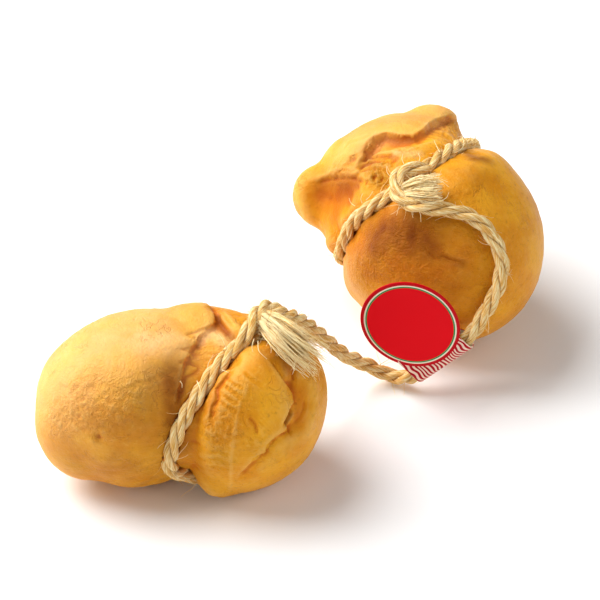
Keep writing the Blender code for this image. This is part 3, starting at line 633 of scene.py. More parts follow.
rightCheese = {
    "lumps": (
        ((53.2, -12.2, 38.9), (40.8, 38.6, 39.3), (24, -43)),
        ((40.8, 11.8, 41.8), (34.5, 32.0, 32.5), (0, 0)),
        ((8.8, 12.4, 42.0), (11.8, 12.0, 12.5), (0, 0)),
        ((50.2, 29.0, 58.6), (12.3, 12.4, 12.2), (0, 0)),
        ((38.0, 24.0, 57.6), (15.0, 13.5, 12.0), (0, 0)),
        ((22.5, 17.0, 52.0), (14.5, 13.5, 13.0), (0, 0)),
        ((62.2, 20.0, 49.2), (13.2, 12.2, 13.2), (0, 0)),
        ((19.6, -7.8, 33.8), (9.8, 9.6, 10.2), (0, 0)),
    ),
    "ring": ((338, 261), (388, 200), (464, 141)),
    "bow": ((352, 240), 5.0, 32),
    "marks": (
        ("softDrop", 6.5, 2.6, ((364, 150), (373, 137), (385, 132), (400, 134), (414, 134), (424, 129), (431, 122),
                                (438, 118), (450, 115))),
        ("groove", 3.0, 1.4, ((369, 149), (380, 142), (395, 141), (412, 142), (421, 139))),
        ("groove", 4.6, 1.6, ((446, 124), (455, 131))),
        ("softDrop", 4.0, 0.7, ((335, 172), (350, 158), (364, 150))),
        ("ledge", 3.4, 0.8, ((320, 179), (332, 176), (345, 175), (357, 177), (366, 182))),
        ("groove", 7.5, 2.8, ((318, 194), (334, 197), (350, 192))),
        ("ridge", 3.0, 1.2, ((298, 187), (301, 202), (308, 217))),
        ("ridge", 3.6, 0.8, ((354, 192), (350, 206), (343, 220))),
        ("ridge", 2.4, 0.9, ((361, 160), (373, 154), (394, 153))),
        ("groove", 2.6, 1.0, ((362, 166), (374, 160), (392, 159))),
        ("ridge", 2.4, 0.7, ((357, 173), (370, 165), (388, 166))),
        ("groove", 4.5, 1.0, ((378, 178), (384, 186))),
        ("groove", 8.0, 2.4, ((352, 236), (372, 230), (395, 231), (412, 238), (436, 258))),
    ),
    "fineMarks": (
        ("drop", 2.2, 0.7, ((364, 150), (366, 142), (373, 136), (384, 131.6), (390, 131.7), (403, 135.5), (414, 135),
                            (423, 129), (430, 122), (437, 118), (449, 115))),
        ("drop", 1.6, 0.35, ((341, 165), (347, 162), (350, 156), (358, 152), (364, 150))),
        ("crease", 0.7, 0.4, ((370, 135), (358, 140), (349, 143), (345, 149))),
        ("pit", 1.4, 0.8, ((353, 158),)),
        ("crease", 0.9, 1.0, ((362, 163), (368, 159), (377, 156.5), (394, 156))),
        ("crease", 0.9, 0.9, ((359, 171), (366, 165), (374, 162), (386, 162))),
        ("crease", 0.8, 0.8, ((354, 178), (362, 171), (371, 168), (382, 168))),
        ("crease", 0.7, 0.8, ((372, 171), (375, 177), (373, 183))),
        ("crease", 0.7, 0.8, ((379, 171), (382, 177), (380, 184))),
        ("crease", 0.6, 0.35, ((386, 170), (385, 178))),
        ("crease", 0.6, 0.35, ((365, 172), (368, 178), (366, 184))),
        ("step", 2.0, 0.4, ((322, 180), (332, 173), (345, 169), (355, 171), (362, 177))),
        ("crease", 0.7, 0.4, ((322, 181), (340, 179), (355, 179), (366, 183))),
        ("crease", 0.6, 0.3, ((398, 150), (408, 152), (418, 149))),
        ("ridge", 0.7, 0.4, ((395, 155), (405, 157), (416, 156))),
        ("crease", 0.7, 0.3, ((440, 120), (446, 128), (444, 138))),
        ("crease", 0.8, 0.5, ((424, 248), (430, 254), (437, 261))),
        ("crease", 0.8, 0.45, ((443, 256), (452, 260), (463, 263))),
    ),
    "cobbles": (((376, 171), 8.0, 1.7, 0.48), ((450, 127), 6.0, 1.4, 0.3), ((408, 152), 6.0, 1.8, 0.24),
                ((340, 170), 6.0, 1.6, 0.18), ((370, 262), 20.0, 1.9, 0.12), ((440, 245), 22.0, 2.0, 0.10)),
    # painted shade: the brown and red tints under the lip, along the creases, in the hollow of the left lobe and in
    # the band under the loop and knot; that band and the broad brown on the body are also the smoke's own colour, and
    # the small red spot is the skin's own. The pale tints are painted highlight on the top plate, a ridge and the lit
    # left edge.
    "tints": (
        ("red", 2.6, 0.3, ((367, 148), (378, 142), (395, 141), (410, 143), (419, 141))),
        ("brown", 2.2, 0.42, ((365, 152), (374, 142), (386, 139), (400, 141), (414, 141))),
        ("brown", 1.5, 0.4, ((361, 164), (370, 159), (394, 157.5))),
        ("brown", 1.3, 0.4, ((358, 172), (367, 166), (384, 163.5))),
        ("red", 1.6, 0.8, ((396, 161),)),
        ("pale", 2.2, 0.45, ((396, 153), (418, 153))),
        ("red", 6.0, 0.8, ((322, 194), (334, 196), (350, 191))),
        ("red", 6.0, 0.6, ((322, 202), (336, 210))),
        ("brown", 6.0, 0.4, ((322, 188), (340, 187), (358, 187))),
        ("brown", 9.5, 0.8, ((379, 237), (390, 232), (406, 233), (422, 242))),
        ("brown", 6.0, 0.4, ((388, 224), (404, 231))),
        ("brown", 15.0, 0.26, ((362, 262), (400, 268), (440, 272))),
        ("brown", 5.6, 0.42, ((364, 162), (374, 172), (384, 182))),
        ("brown", 4.0, 0.5, ((410, 238), (426, 248), (440, 257))),
        ("brown", 2.4, 0.5, ((443, 257), (462, 264))),
        ("red", 15.0, 0.6, ((354, 242), (385, 240), (410, 256), (440, 268))),
        ("pale", 6.0, 0.4, ((345, 266), (349, 282), (360, 298))),
        ("brown", 9.0, 0.22, ((470, 172), (492, 186))),
        ("brown", 3.2, 0.7, ((463, 149), (474, 158), (486, 160))),
        ("brown", 3.0, 0.4, ((376, 181), (386, 190))),
        ("pale", 2.4, 0.5, ((428, 124),)),
        ("pale", 12.0, 0.32, ((350, 146), (385, 122), (430, 112))),
    ),
}


def lumpsMesh(name, lumps):
    # one soft skin round all the lumps
    bm = bmesh.new()
    for centre, halfSizes, (aboutY, aboutZ) in lumps:
        place = Matrix.Translation(camera["centre"] + Vector(centre) * mm)
        turn = Matrix.Rotation(math.radians(aboutZ), 4, "Z") @ Matrix.Rotation(math.radians(aboutY), 4, "Y")
        size = Matrix.Diagonal((*(Vector(halfSizes) * mm), 1))
        bmesh.ops.create_icosphere(bm, subdivisions=4, radius=1, matrix=place @ turn @ size)
    mesh = bpy.data.meshes.new(name)
    bm.to_mesh(mesh)
    bm.free()
    obj = linkObject(name + "Lumps", mesh)
    for voxel, smoothing in (
        (cheese["lumpVoxel"], cheese["lumpSmoothing"]),
        (cheese["skinVoxel"], cheese["skinSmoothing"]),
    ):
        remesh = obj.modifiers.new("skin", "REMESH")
        remesh.mode = "VOXEL"
        remesh.voxel_size = voxel
        soften = obj.modifiers.new("soften", "SMOOTH")
        soften.factor = 0.5
        soften.iterations = smoothing
        if voxel == cheese["lumpVoxel"]:
            rounder = obj.modifiers.new("rounder", "SUBSURF")
            rounder.levels = rounder.render_levels = 1
    return bakedMesh(obj, name)


def ringPlane(mesh, marks, bow):
    # the neck's middle, its axis and the way in which the loop is bowed
    tree = treeOf(mesh)
    first, second, third = (onSkin(tree, *mark)[0] for mark in marks)
    normal = (second - first).cross(third - second).normalized()
    points = pointsOf(mesh)
    near = np.abs((points - np.array(first)) @ np.array(normal)) < cheese["neckWithin"]
    centre = Vector(points[near].mean(axis=0))
    mark, amount, reach = bow
    toward = onSkin(tree, *mark)[0] - centre
    toward = (toward - normal * toward.dot(normal)).normalized()
    return centre, normal, (toward, amount * mm, math.radians(reach))


def bowHeight(outward, bow):
    toward, amount, reach = bow
    return amount * np.exp(-((np.arccos(np.clip(outward @ np.array(toward), -1, 1)) / reach) ** 2))


def roundNeck(points, centre, normal, bow):
    # how far each point is from the loop along the neck's axis, and its way outward from that axis
    axis = np.array(normal)
    away = points - np.array(centre)
    height = away @ axis
    radial = away - height[:, None] * axis
    outward = radial / np.maximum(np.linalg.norm(radial, axis=1, keepdims=True), 1e-6)
    return height - bowHeight(outward, bow), outward


def pinch(mesh, neck):
    points = pointsOf(mesh)
    height, outward = roundNeck(points, *neck)
    depth, width = cheese["neckDepth"], cheese["neckWidth"]
    draw = depth * np.exp(-((height / width) ** 2))
    swell = cheese["neckSwell"] * depth * np.exp(-((np.abs(height) / width - cheese["neckSwellAt"]) ** 2))
    setPoints(mesh, points + outward * (swell - draw)[:, None])


def layOnTable(mesh, sink):
    points = pointsOf(mesh)
    points[:, 2] -= points[:, 2].min() + sink
    points[points[:, 2] < cheese["levelWithin"], 2] = 0
    setPoints(mesh, points)


def laidLine(tree, marks):
    # points of the skin along a line of the picture, their normals, and the way the line runs
    corners = [marks[0]]
    for (x0, y0), (x1, y1) in zip(marks, marks[1:]):
        steps = max(1, round(math.hypot(x1 - x0, y1 - y0) / cheese["markSpacing"]))
        corners += [(x0 + (x1 - x0) * i / steps, y0 + (y1 - y0) * i / steps) for i in range(1, steps + 1)]
    laid = [tree.ray_cast(*sightLine(px, py))[:2] for px, py in corners]
    laid = [(place, normal) for place, normal in laid if place is not None]
    places = np.array([place for place, _ in laid])
    along = np.gradient(places, axis=0) if len(laid) > 1 else np.tile(np.array(viewRight), (1, 1))
    return places, np.array([normal for _, normal in laid]), along


def nearLine(points, places, reach):
    # the points within reach of a line of places: their numbers, distances and nearest places
    low, high = places.min(axis=0) - reach, places.max(axis=0) + reach
    rows = np.nonzero(np.all((points > low) & (points < high), axis=1))[0]
    distances = np.linalg.norm(points[rows][:, None, :] - places[None, :, :], axis=2)
    nearest = distances.argmin(axis=1)
    return rows, distances[np.arange(len(rows)), nearest], nearest


def pressMarks(mesh, marks):
    # moves the skin along its own normals, by the marks laid on it
    tree = treeOf(mesh)
    points, normals = pointsOf(mesh), normalsOf(mesh)
    moved = np.zeros(len(points))
    for kind, width, amount, line in marks:
        places, facing, along = laidLine(tree, line)
        width, amount = width * mm, amount * mm
        rows, distance, nearest = nearLine(points, places, width * cheese["markReach"])
        sameSide = np.clip(2 * np.einsum("ij,ij->i", normals[rows], facing[nearest]), 0, 1)
        bell = np.exp(-((distance / width) ** 2)) * sameSide * amount
        if kind == "ridge":
            moved[rows] += bell
        elif kind in ("groove", "pit"):
            moved[rows] -= bell
        elif kind == "crease":
            share = nearest / max(1, len(places) - 1)
            taper = np.clip(5 * np.minimum(share, 1 - share) + 0.25, 0, 1)
            lips = np.exp(-((distance / width - cheese["creaseLipAt"]) ** 2))
            lips = lips * sameSide * amount * cheese["creaseLip"]
            moved[rows] -= (bell - lips) * taper
        else:
            # an edge in the skin
            left = np.cross(facing[nearest], along[nearest])
            left /= np.maximum(np.linalg.norm(left, axis=1, keepdims=True), 1e-9)
            side = np.einsum("ij,ij->i", points[rows] - places[nearest], left)
            side /= cheese["edgeWidth"][kind]
            if kind in ("drop", "softDrop"):
                moved[rows] -= bell * np.clip(-side, 0, 1)
            else:
                moved[rows] += bell * np.clip(side, cheese["ledgeFoot"], 1)
    setPoints(mesh, points + normals * moved[:, None])


def ringPath(mesh, neck):
    # the middle line of a taut loop round the neck, which bridges the hollows of the skin
    tree = treeOf(mesh)
    centre, normal, bow = neck
    across = normal.orthogonal().normalized()
    other = normal.cross(across)
    hits = []
    for step in range(twine["rays"]):
        angle = math.tau * step / twine["rays"]
        outward = across * math.cos(angle) + other * math.sin(angle)
        level = centre + normal * float(bowHeight(np.array(outward), bow))
        hit = tree.ray_cast(level + outward * 0.2, -outward)[0]
        hits.append(((hit - centre).dot(across), (hit - centre).dot(other)))
    ring = []
    for x, y in evenLoop(convexOutline(hits), twine["ringPoints"]):
        flat = Vector((x, y))
        flat *= 1 + twine["rise"] / flat.length
        place = centre + across * flat.x + other * flat.y
        place += normal * float(bowHeight(np.array((place - centre).normalized()), bow))
        place.z = max(place.z, twine["diameter"] / 2 + twine["overTable"])
        ring.append(place)
    for _ in range(twine["ringRounds"]):
        ring = [(ring[i - 1] + ring[i] * 2 + ring[(i + 1) % len(ring)]) / 4 for i in range(len(ring))]
    return ring


def convexOutline(points):
    points = sorted(points)

    def half(ordered):
        chain = []
        for point in ordered:
            while len(chain) > 1 and (
                (chain[-1][0] - chain[-2][0]) * (point[1] - chain[-2][1])
                - (chain[-1][1] - chain[-2][1]) * (point[0] - chain[-2][0])
            ) <= 0:
                chain.pop()
            chain.append(point)
        return chain[:-1]

    return half(points) + half(points[::-1])


def evenLoop(corners, count):
    closed = np.array(corners + corners[:1])
    travelled = np.concatenate([[0], np.cumsum(np.linalg.norm(np.diff(closed, axis=0), axis=1))])
    wanted = np.linspace(0, travelled[-1], count, endpoint=False)
    return [(np.interp(w, travelled, closed[:, 0]), np.interp(w, travelled, closed[:, 1])) for w in wanted]


def pressLoop(points, ring):
    # the skin gives way to the loop, and swells a little beside it
    line = np.array(smoothRoute(ring + ring[:1], twine["bedSpacing"]))
    size = twine["diameter"] / 2 + twine["bedGap"]
    rows, distance, nearest = nearLine(points, line, size * twine["bedReach"])
    away = points[rows] - line[nearest]
    away /= np.maximum(distance, 1e-6)[:, None]
    points[rows] = line[nearest] + away * ((distance ** 4 + size ** 4) ** 0.25)[:, None]
    return points


def addPleats(mesh, neck, seed):
    # the neck is gathered, so pleats run out from the twine
    points, normals = pointsOf(mesh), normalsOf(mesh)
    height, outward = roundNeck(points, *neck)
    place = outward * cheese["neckRadius"] * mm + np.array(neck[1]) * height[:, None] * 0.22
    fold = np.abs(softNoise(place, cheese["pleatWidth"], seed)) ** 0.7 - 0.45
    fold += 0.4 * (np.abs(softNoise(place, cheese["pleatWidth"] * 0.45, seed + 1)) ** 0.8 - 0.4)
    varied = softNoise(outward * cheese["neckRadius"] * mm, cheese["pleatReachSize"], seed + 2)
    reach = cheese["pleatReach"] * (1 + 0.4 * varied)
    fade = np.exp(-((height / reach) ** 2)) * np.clip(np.abs(height) / cheese["pleatStart"], 0.25, 1)
    # the folds that the picture shows are marks of their own, so the pleats are low there
    shown = np.clip(1.6 * normals @ np.array(viewBack), 0, 1)
    lowered = 1 - (1 - cheese["pleatsShown"]) * shown
    setPoints(mesh, points + normals * (fold * fade * cheese["pleatHeight"] * lowered)[:, None])


def addCobbles(mesh, patches, seed):
    tree = treeOf(mesh)
    points, normals = pointsOf(mesh), normalsOf(mesh)
    moved, broken = np.zeros(len(points)), np.zeros(len(points))
    for (px, py), radius, size, height in patches:
        centre = np.array(onSkin(tree, px, py)[0])
        share = np.exp(-((np.linalg.norm(points - centre, axis=1) / (radius * mm)) ** 4))
        rows = share > 0.01
        rough = softNoise(points[rows], size * mm, seed) - 1.6 * np.abs(softNoise(points[rows], size * mm, seed + 3))
        rough -= np.abs(softNoise(points[rows], size * 0.55 * mm, seed + 1)) - 0.8
        moved[rows] += share[rows] * rough * height * mm
        broken = np.maximum(broken, share)
    for size, height in cheese["lumpiness"] + cheese["peel"]:
        moved += softNoise(points, size * mm, seed + round(size * 10)) * height * mm
    moved *= np.clip(points[:, 2] / cheese["flatUnder"], 0, 1)
    setPoints(mesh, points + normals * moved[:, None])
    setNumbers(mesh, "rough", broken)


def hollowness(mesh, rounds):
    # how far each point lies below the skin round it, in mm
    points, normals = pointsOf(mesh), normalsOf(mesh)
    edges = np.empty(len(mesh.edges) * 2, np.int32)
    mesh.edges.foreach_get("vertices", edges)
    first, second = edges[::2], edges[1::2]
    count = np.bincount(edges, minlength=len(points))
    soft = points.copy()
    for _ in range(rounds):
        summed = [
            np.bincount(first, soft[second, axis], len(points)) + np.bincount(second, soft[first, axis], len(points))
            for axis in range(3)
        ]
        soft = np.stack([total / count for total in summed], axis=1)
    return np.einsum("ij,ij->i", soft - points, normals) / mm


def tintsOf(mesh, tints):
    # how much of each tint every point has: the smoke's own colour, painted shade and painted highlight
    tree = treeOf(mesh)
    points = pointsOf(mesh)
    values = {name: np.zeros(len(points)) for name in ("brown", "red", "pale")}
    for name, radius, amount, line in tints:
        places = laidLine(tree, line)[0]
        rows, distance, _ = nearLine(points, places, radius * 2.5 * mm)
        bell = amount * np.exp(-((distance / (radius * mm)) ** 2))
        bell *= 1 + 0.22 * softNoise(points[rows], 2.6 * mm, 5)
        values[name][rows] = np.maximum(values[name][rows], bell)
    return values


def makeCheese(name, node, about, seed):
    mesh = lumpsMesh(name, about["lumps"])
    neck = ringPlane(mesh, about["ring"], about["bow"])
    pinch(mesh, neck)
    layOnTable(mesh, cheese["sink"])
    pressMarks(mesh, about["marks"])
    ring = ringPath(mesh, neck)
    bare = treeOf(mesh)  # the skin that the knots are laid on
    addPleats(mesh, neck, seed)
    pressMarks(mesh, about["fineMarks"])
    setPoints(mesh, pressLoop(pointsOf(mesh), ring))
    addCobbles(mesh, about["cobbles"], seed + 20)
    overTable(mesh)
    # how deep each point lies in a hollow, by which the finish paints shade in hollows and highlight on ridges
    setNumbers(mesh, "hollow", sum(hollowness(mesh, rounds) * weight for rounds, weight in cheese["hollows"]))
    for tint, values in tintsOf(mesh, about["tints"]).items():
        setNumbers(mesh, tint, values)
    height, outward = roundNeck(pointsOf(mesh), *neck)
    setVectors(mesh, "flow", outward * cheese["neckRadius"] * mm + np.array(neck[1]) * height[:, None] * 0.09)
    mesh.materials.clear()
    mesh.materials.append(skinMaterial)
    mesh.shade_smooth()
    piece = linkObject(name, mesh)
    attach(piece, "root")
    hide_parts(node)
    print(name, len(mesh.polygons) * 2, "triangles")
    return bare, ring


# Twine

twine = {
    "diameter": 5.6 * mm,
    "rise": 0.5 * mm,  # of the loop's middle line above the skin
    "overTable": 0.3 * mm,
    "rays": 144,  # that feel for the skin round the neck
    "ringPoints": 72,
    "ringRounds": 3,  # of smoothing
    "bedGap": 0.05 * mm,
    "bedSpacing": 0.7 * mm,
    "bedReach": 2.6,  # in radii of the twine
    "strands": 3,
    "lay": 26.0 * mm,  # of one turn of a strand round the twine
    "ringLay": 22 * mm,  # the same in a loop round a neck, which is pulled tight
    "knotLay": 30 * mm,  # and in a knot's own loop
    "stepOut": 0.35 * mm,  # of each place where a knot's twine leaves its loop
    "strandOffset": 1.52 * mm,
    "strandRadius": 1.40 * mm,
    "step": 0.5 * mm,
    "sides": 14,
    "relief": 0.34 * mm,
    "reliefNoise": {"Scale": 0.85, "Detail": 2.0, "Roughness": 0.6},
    "streakStretch": 0.1,  # a fibre's streak is ten times as long as it is wide
    "strandsApart": 0.011,  # metres, so that no two strands have the same streaks
    "seedsApart": 5.0,  # strands
    "yarnTwist": -42.0,  # turns of the fibres in a strand, per metre
    "spacing": 1.6 * mm,
}


def laidTwineTree():
    tree, given = geometryTree("laid twine", (
        ("Strands", "Int"), ("Turns", "Float"), ("Strand offset", "Float"), ("Strand radius", "Float"),
        ("Step", "Float"), ("Sides", "Int"), ("Relief", "Float"), ("Yarn twist", "Float"), ("Seed", "Int"),
        ("Material", "Material"),
    ))
    curve = addNode(tree, "GeometryNodeMeshToCurve", None, {"Mesh": given.outputs["Geometry"]})
    even = addNode(tree, "GeometryNodeResampleCurve", {"mode": "LENGTH"}, {
        "Curve": curve, "Length": given.outputs["Step"]})
    copies = addNode(tree, "GeometryNodeDuplicateElements", {"domain": "SPLINE"}, {
        "Geometry": even, "Amount": given.outputs["Strands"]})
    number = copies.outputs["Duplicate Index"]

    # each strand winds round the middle line, and starts its own share of a turn on
    where = addNode(tree, "GeometryNodeSplineParameter")
    turned = addNode(tree, "ShaderNodeMath", times, {0: where.outputs["Factor"], 1: given.outputs["Turns"]})
    turned = addNode(tree, "ShaderNodeMath", times, {0: turned, 1: math.tau})
    start = addNode(tree, "ShaderNodeMath", times, {0: number, 1: math.tau})
    start = addNode(tree, "ShaderNodeMath", over, {0: start, 1: given.outputs["Strands"]})
    angle = addNode(tree, "ShaderNodeMath", plus, {0: turned, 1: start})
    normal = addNode(tree, "GeometryNodeInputNormal")
    tangent = addNode(tree, "GeometryNodeInputTangent")
    binormal = addNode(tree, "ShaderNodeVectorMath", crossed, {0: tangent, 1: normal})
    ahead = addNode(tree, "ShaderNodeMath", cosine, {0: angle})
    beside = addNode(tree, "ShaderNodeMath", sine, {0: angle})
    ahead = addNode(tree, "ShaderNodeVectorMath", scaled, {0: normal, "Scale": ahead})
    beside = addNode(tree, "ShaderNodeVectorMath", scaled, {0: binormal, "Scale": beside})
    outward = addNode(tree, "ShaderNodeVectorMath", plus, {0: ahead, 1: beside})
    kept = addNode(tree, "GeometryNodeStoreNamedAttribute", pointVectors, {
        "Geometry": copies, "Name": "outward", "Value": outward})
    kept = addNode(tree, "GeometryNodeStoreNamedAttribute", pointNumbers, {
        "Geometry": kept, "Name": "strand", "Value": number})
    offset = addNode(tree, "ShaderNodeVectorMath", scaled, {0: outward, "Scale": given.outputs["Strand offset"]})
    placed = addNode(tree, "GeometryNodeSetPosition", None, {"Geometry": kept, "Offset": offset})
    tangent = addNode(tree, "GeometryNodeInputTangent")
    kept = addNode(tree, "GeometryNodeStoreNamedAttribute", pointVectors, {
        "Geometry": placed, "Name": "lie", "Value": tangent})
    where = addNode(tree, "GeometryNodeSplineParameter")
    kept = addNode(tree, "GeometryNodeStoreNamedAttribute", pointNumbers, {
        "Geometry": kept, "Name": "along", "Value": where.outputs["Length"]})
    circle = addNode(tree, "GeometryNodeCurvePrimitiveCircle", {"mode": "RADIUS"}, {
        "Resolution": given.outputs["Sides"], "Radius": given.outputs["Strand radius"]})
    around = addNode(tree, "GeometryNodeInputPosition")
    profile = addNode(tree, "GeometryNodeStoreNamedAttribute", pointVectors, {
        "Geometry": circle, "Name": "around", "Value": around})
    mesh = addNode(tree, "GeometryNodeCurveToMesh", None, {
        "Curve": kept, "Profile Curve": profile, "Fill Caps": True})

    # where a point lies in its strand's bundle of fibres, in mm, for the streaks and the relief
    around = addNode(tree, "GeometryNodeInputNamedAttribute", vectors, {"Name": "around"})
    along = addNode(tree, "GeometryNodeInputNamedAttribute", numbers, {"Name": "along"})
    strand = addNode(tree, "GeometryNodeInputNamedAttribute", numbers, {"Name": "strand"})
    twisted = addNode(tree, "ShaderNodeMath", times, {0: along, 1: given.outputs["Yarn twist"]})
    twisted = addNode(tree, "ShaderNodeMath", times, {0: twisted, 1: math.tau})
    spun = addNode(tree, "ShaderNodeVectorRotate", {"rotation_type": "AXIS_ANGLE"}, {
        "Vector": around, "Axis": (0, 0, 1), "Angle": twisted})
    drawn = addNode(tree, "ShaderNodeMath", times, {0: along, 1: twine["streakStretch"]})
    apart = addNode(tree, "ShaderNodeMath", times, {0: given.outputs["Seed"], 1: twine["seedsApart"]})
    apart = addNode(tree, "ShaderNodeMath", plus, {0: strand, 1: apart})
    apart = addNode(tree, "ShaderNodeMath", times, {0: apart, 1: twine["strandsApart"]})
    shift = addNode(tree, "ShaderNodeMath", plus, {0: drawn, 1: apart})
    shift = addNode(tree, "ShaderNodeCombineXYZ", None, {"Z": shift})
    fibre = addNode(tree, "ShaderNodeVectorMath", plus, {0: spun, 1: shift})
    fibre = addNode(tree, "ShaderNodeVectorMath", scaled, {0: fibre, "Scale": 1 / mm})
    kept = addNode(tree, "GeometryNodeStoreNamedAttribute", pointVectors, {
        "Geometry": mesh, "Name": "fibre", "Value": fibre})
    # how far the surface faces out from the twine's middle, by which the finish paints shade between the strands
    normal = addNode(tree, "GeometryNodeInputNormal")
    outward = addNode(tree, "GeometryNodeInputNamedAttribute", vectors, {"Name": "outward"})
    outer = addNode(tree, "ShaderNodeVectorMath", dotted, {0: normal, 1: outward})
    kept = addNode(tree, "GeometryNodeStoreNamedAttribute", pointNumbers, {
        "Geometry": kept, "Name": "outer", "Value": outer.outputs["Value"]})
    kept = addNode(tree, "GeometryNodeStoreNamedAttribute", pointNumbers, {
        "Geometry": kept, "Name": "tone", "Value": 0.5})
    fibre = addNode(tree, "GeometryNodeInputNamedAttribute", vectors, {"Name": "fibre"})
    locks = addNode(tree, "ShaderNodeTexNoise", None, {"Vector": fibre, **twine["reliefNoise"]})
    locks = addNode(tree, "ShaderNodeMath", minus, {0: locks, 1: 0.5})
    height = addNode(tree, "ShaderNodeMath", times, {0: given.outputs["Relief"], 1: 2.0})
    height = addNode(tree, "ShaderNodeMath", times, {0: locks, 1: height})
    lift = addNode(tree, "ShaderNodeVectorMath", scaled, {0: normal, "Scale": height})
    rough = addNode(tree, "GeometryNodeSetPosition", None, {"Geometry": kept, "Offset": lift})
    return endTree(tree, given, rough)


# Loose fibres that stand off the twine
hairs = {
    "density": 90000.0,  # per square metre of strand
    "length": 4.6 * mm,
    "radius": 0.09 * mm,
    "strayRadius": 0.16 * mm,
    "straySpacing": 0.6 * mm,
    "straySides": 5,
    "lift": 0.5,  # 0 lies along the strand, 1 stands up
    "astray": 0.35,  # off that way at random, at most
    "bend": 0.38,
    "waves": 5.0,  # radians from root to tip
    "waveHeight": 0.06,  # as a share of the length
    "leastSize": 0.2,
    "moreSize": 1.3,
    "shortOnes": 2.4,  # the power that makes most of them short
    "points": 6,
    "sides": 3,
    "taper": 0.6,
    "tone": (0.35, 1.0),
}


def looseHairsTree():
    tree, given = geometryTree("loose hairs", (
        ("Density", "Float"), ("Length", "Float"), ("Radius", "Float"), ("Lift", "Float"), ("Bend", "Float"),
        ("Seed", "Int"), ("Material", "Material"),
    ))
    points = addNode(tree, "GeometryNodeDistributePointsOnFaces", {"distribute_method": "RANDOM"}, {
        "Mesh": given.outputs["Geometry"], "Density": given.outputs["Density"], "Seed": given.outputs["Seed"]})

    # each hair leaves forward or back along its strand, lifted and a little astray
    lie = addNode(tree, "GeometryNodeInputNamedAttribute", vectors, {"Name": "lie"})
    side = addNode(tree, "FunctionNodeRandomValue", numbers, {2: -1.0, 3: 1.0, "Seed": 3})
    side = addNode(tree, "ShaderNodeMath", {"operation": "SIGN"}, {0: side.outputs[1]})
    run = addNode(tree, "ShaderNodeVectorMath", scaled, {0: lie, "Scale": side})
    rise = addNode(tree, "ShaderNodeVectorMath", scaled, {
        0: points.outputs["Normal"], "Scale": given.outputs["Lift"]})
    stray = addNode(tree, "FunctionNodeRandomValue", vectors, {
        0: (-hairs["astray"],) * 3, 1: (hairs["astray"],) * 3, "Seed": 4})
    way = addNode(tree, "ShaderNodeVectorMath", plus, {0: run, 1: rise})
    way = addNode(tree, "ShaderNodeVectorMath", plus, {0: way, 1: stray})
    spin = addNode(tree, "FunctionNodeRandomValue", numbers, {2: 0.0, 3: math.tau, "Seed": 5})
    spin = addNode(tree, "FunctionNodeAxisAngleToRotation", None, {"Axis": (0, 0, 1), "Angle": spin.outputs[1]})
    turn = addNode(tree, "FunctionNodeAlignRotationToVector", {"axis": "Z"}, {"Rotation": spin, "Vector": way})

    # most hairs are short
    size = addNode(tree, "FunctionNodeRandomValue", numbers, {2: 0.0, 3: 1.0, "Seed": 6})
    size = addNode(tree, "ShaderNodeMath", power, {0: size.outputs[1], 1: hairs["shortOnes"]})
    size = addNode(tree, "ShaderNodeMath", times, {0: hairs["moreSize"], 1: size})
    size = addNode(tree, "ShaderNodeMath", plus, {0: hairs["leastSize"], 1: size})
    size = addNode(tree, "ShaderNodeCombineXYZ", None, {"X": size, "Y": size, "Z": size})

    # one hair: a short line that is bent to one side and waves a little
    end = addNode(tree, "ShaderNodeCombineXYZ", None, {"Z": given.outputs["Length"]})
    line = addNode(tree, "GeometryNodeCurvePrimitiveLine", None, {"End": end})
    fine = addNode(tree, "GeometryNodeResampleCurve", {"mode": "COUNT"}, {
        "Curve": line, "Count": hairs["points"]})
    share = addNode(tree, "GeometryNodeSplineParameter").outputs["Factor"]
    sideways = addNode(tree, "ShaderNodeMath", power, {0: share, 1: 2.0})
    sideways = addNode(tree, "ShaderNodeMath", times, {0: sideways, 1: given.outputs["Bend"]})
    sideways = addNode(tree, "ShaderNodeMath", times, {0: sideways, 1: given.outputs["Length"]})
    wave = addNode(tree, "ShaderNodeMath", times, {0: share, 1: hairs["waves"]})
    wave = addNode(tree, "ShaderNodeMath", sine, {0: wave})
    waveHeight = addNode(tree, "ShaderNodeMath", times, {0: given.outputs["Length"], 1: hairs["waveHeight"]})
    wave = addNode(tree, "ShaderNodeMath", times, {0: wave, 1: waveHeight})
    offset = addNode(tree, "ShaderNodeCombineXYZ", None, {"X": sideways, "Y": wave})
    bent = addNode(tree, "GeometryNodeSetPosition", None, {"Geometry": fine, "Offset": offset})
    profile = addNode(tree, "GeometryNodeCurvePrimitiveCircle", {"mode": "RADIUS"}, {
        "Resolution": hairs["sides"], "Radius": given.outputs["Radius"]})
    taper = addNode(tree, "ShaderNodeMath", times, {0: share, 1: hairs["taper"]})
    taper = addNode(tree, "ShaderNodeMath", minus, {0: 1.0, 1: taper})
    hair = addNode(tree, "GeometryNodeCurveToMesh", None, {"Curve": bent, "Profile Curve": profile, "Scale": taper})
    placed = addNode(tree, "GeometryNodeInstanceOnPoints", None, {
        "Points": points, "Instance": hair, "Rotation": turn, "Scale": size})
    deepest, palest = hairs["tone"]
    tone = addNode(tree, "FunctionNodeRandomValue", numbers, {2: deepest, 3: palest, "Seed": 7})
    kept = addNode(tree, "GeometryNodeStoreNamedAttribute", copyNumbers, {
        "Geometry": placed, "Name": "tone", "Value": tone.outputs[1]})
    kept = addNode(tree, "GeometryNodeStoreNamedAttribute", copyNumbers, {
        "Geometry": kept, "Name": "outer", "Value": 1.0})
    return endTree(tree, given, kept)


# Cut ends where the strands have come apart
frays = {
    "points": 13,
    "sides": 4,
    "clustered": 0.6,  # the power that spreads the locks over the end
    "numberApart": 3.7,  # how differently two fibres wander
    "curls": 2.6,  # from root to tip
    "wander": 2.0,
    "looseRoot": 0.6,  # as a share of how loose the tip of a lock is
    "streaksApart": 1.3,  # mm
    "tone": (0.35, 1.5),
    "thickness": (0.6, 1.4),
    "taper": 0.45,
    "outer": 0.9,  # as on the outside of a strand, which the finish leaves pale, without the painted shade that it lays between strands
}


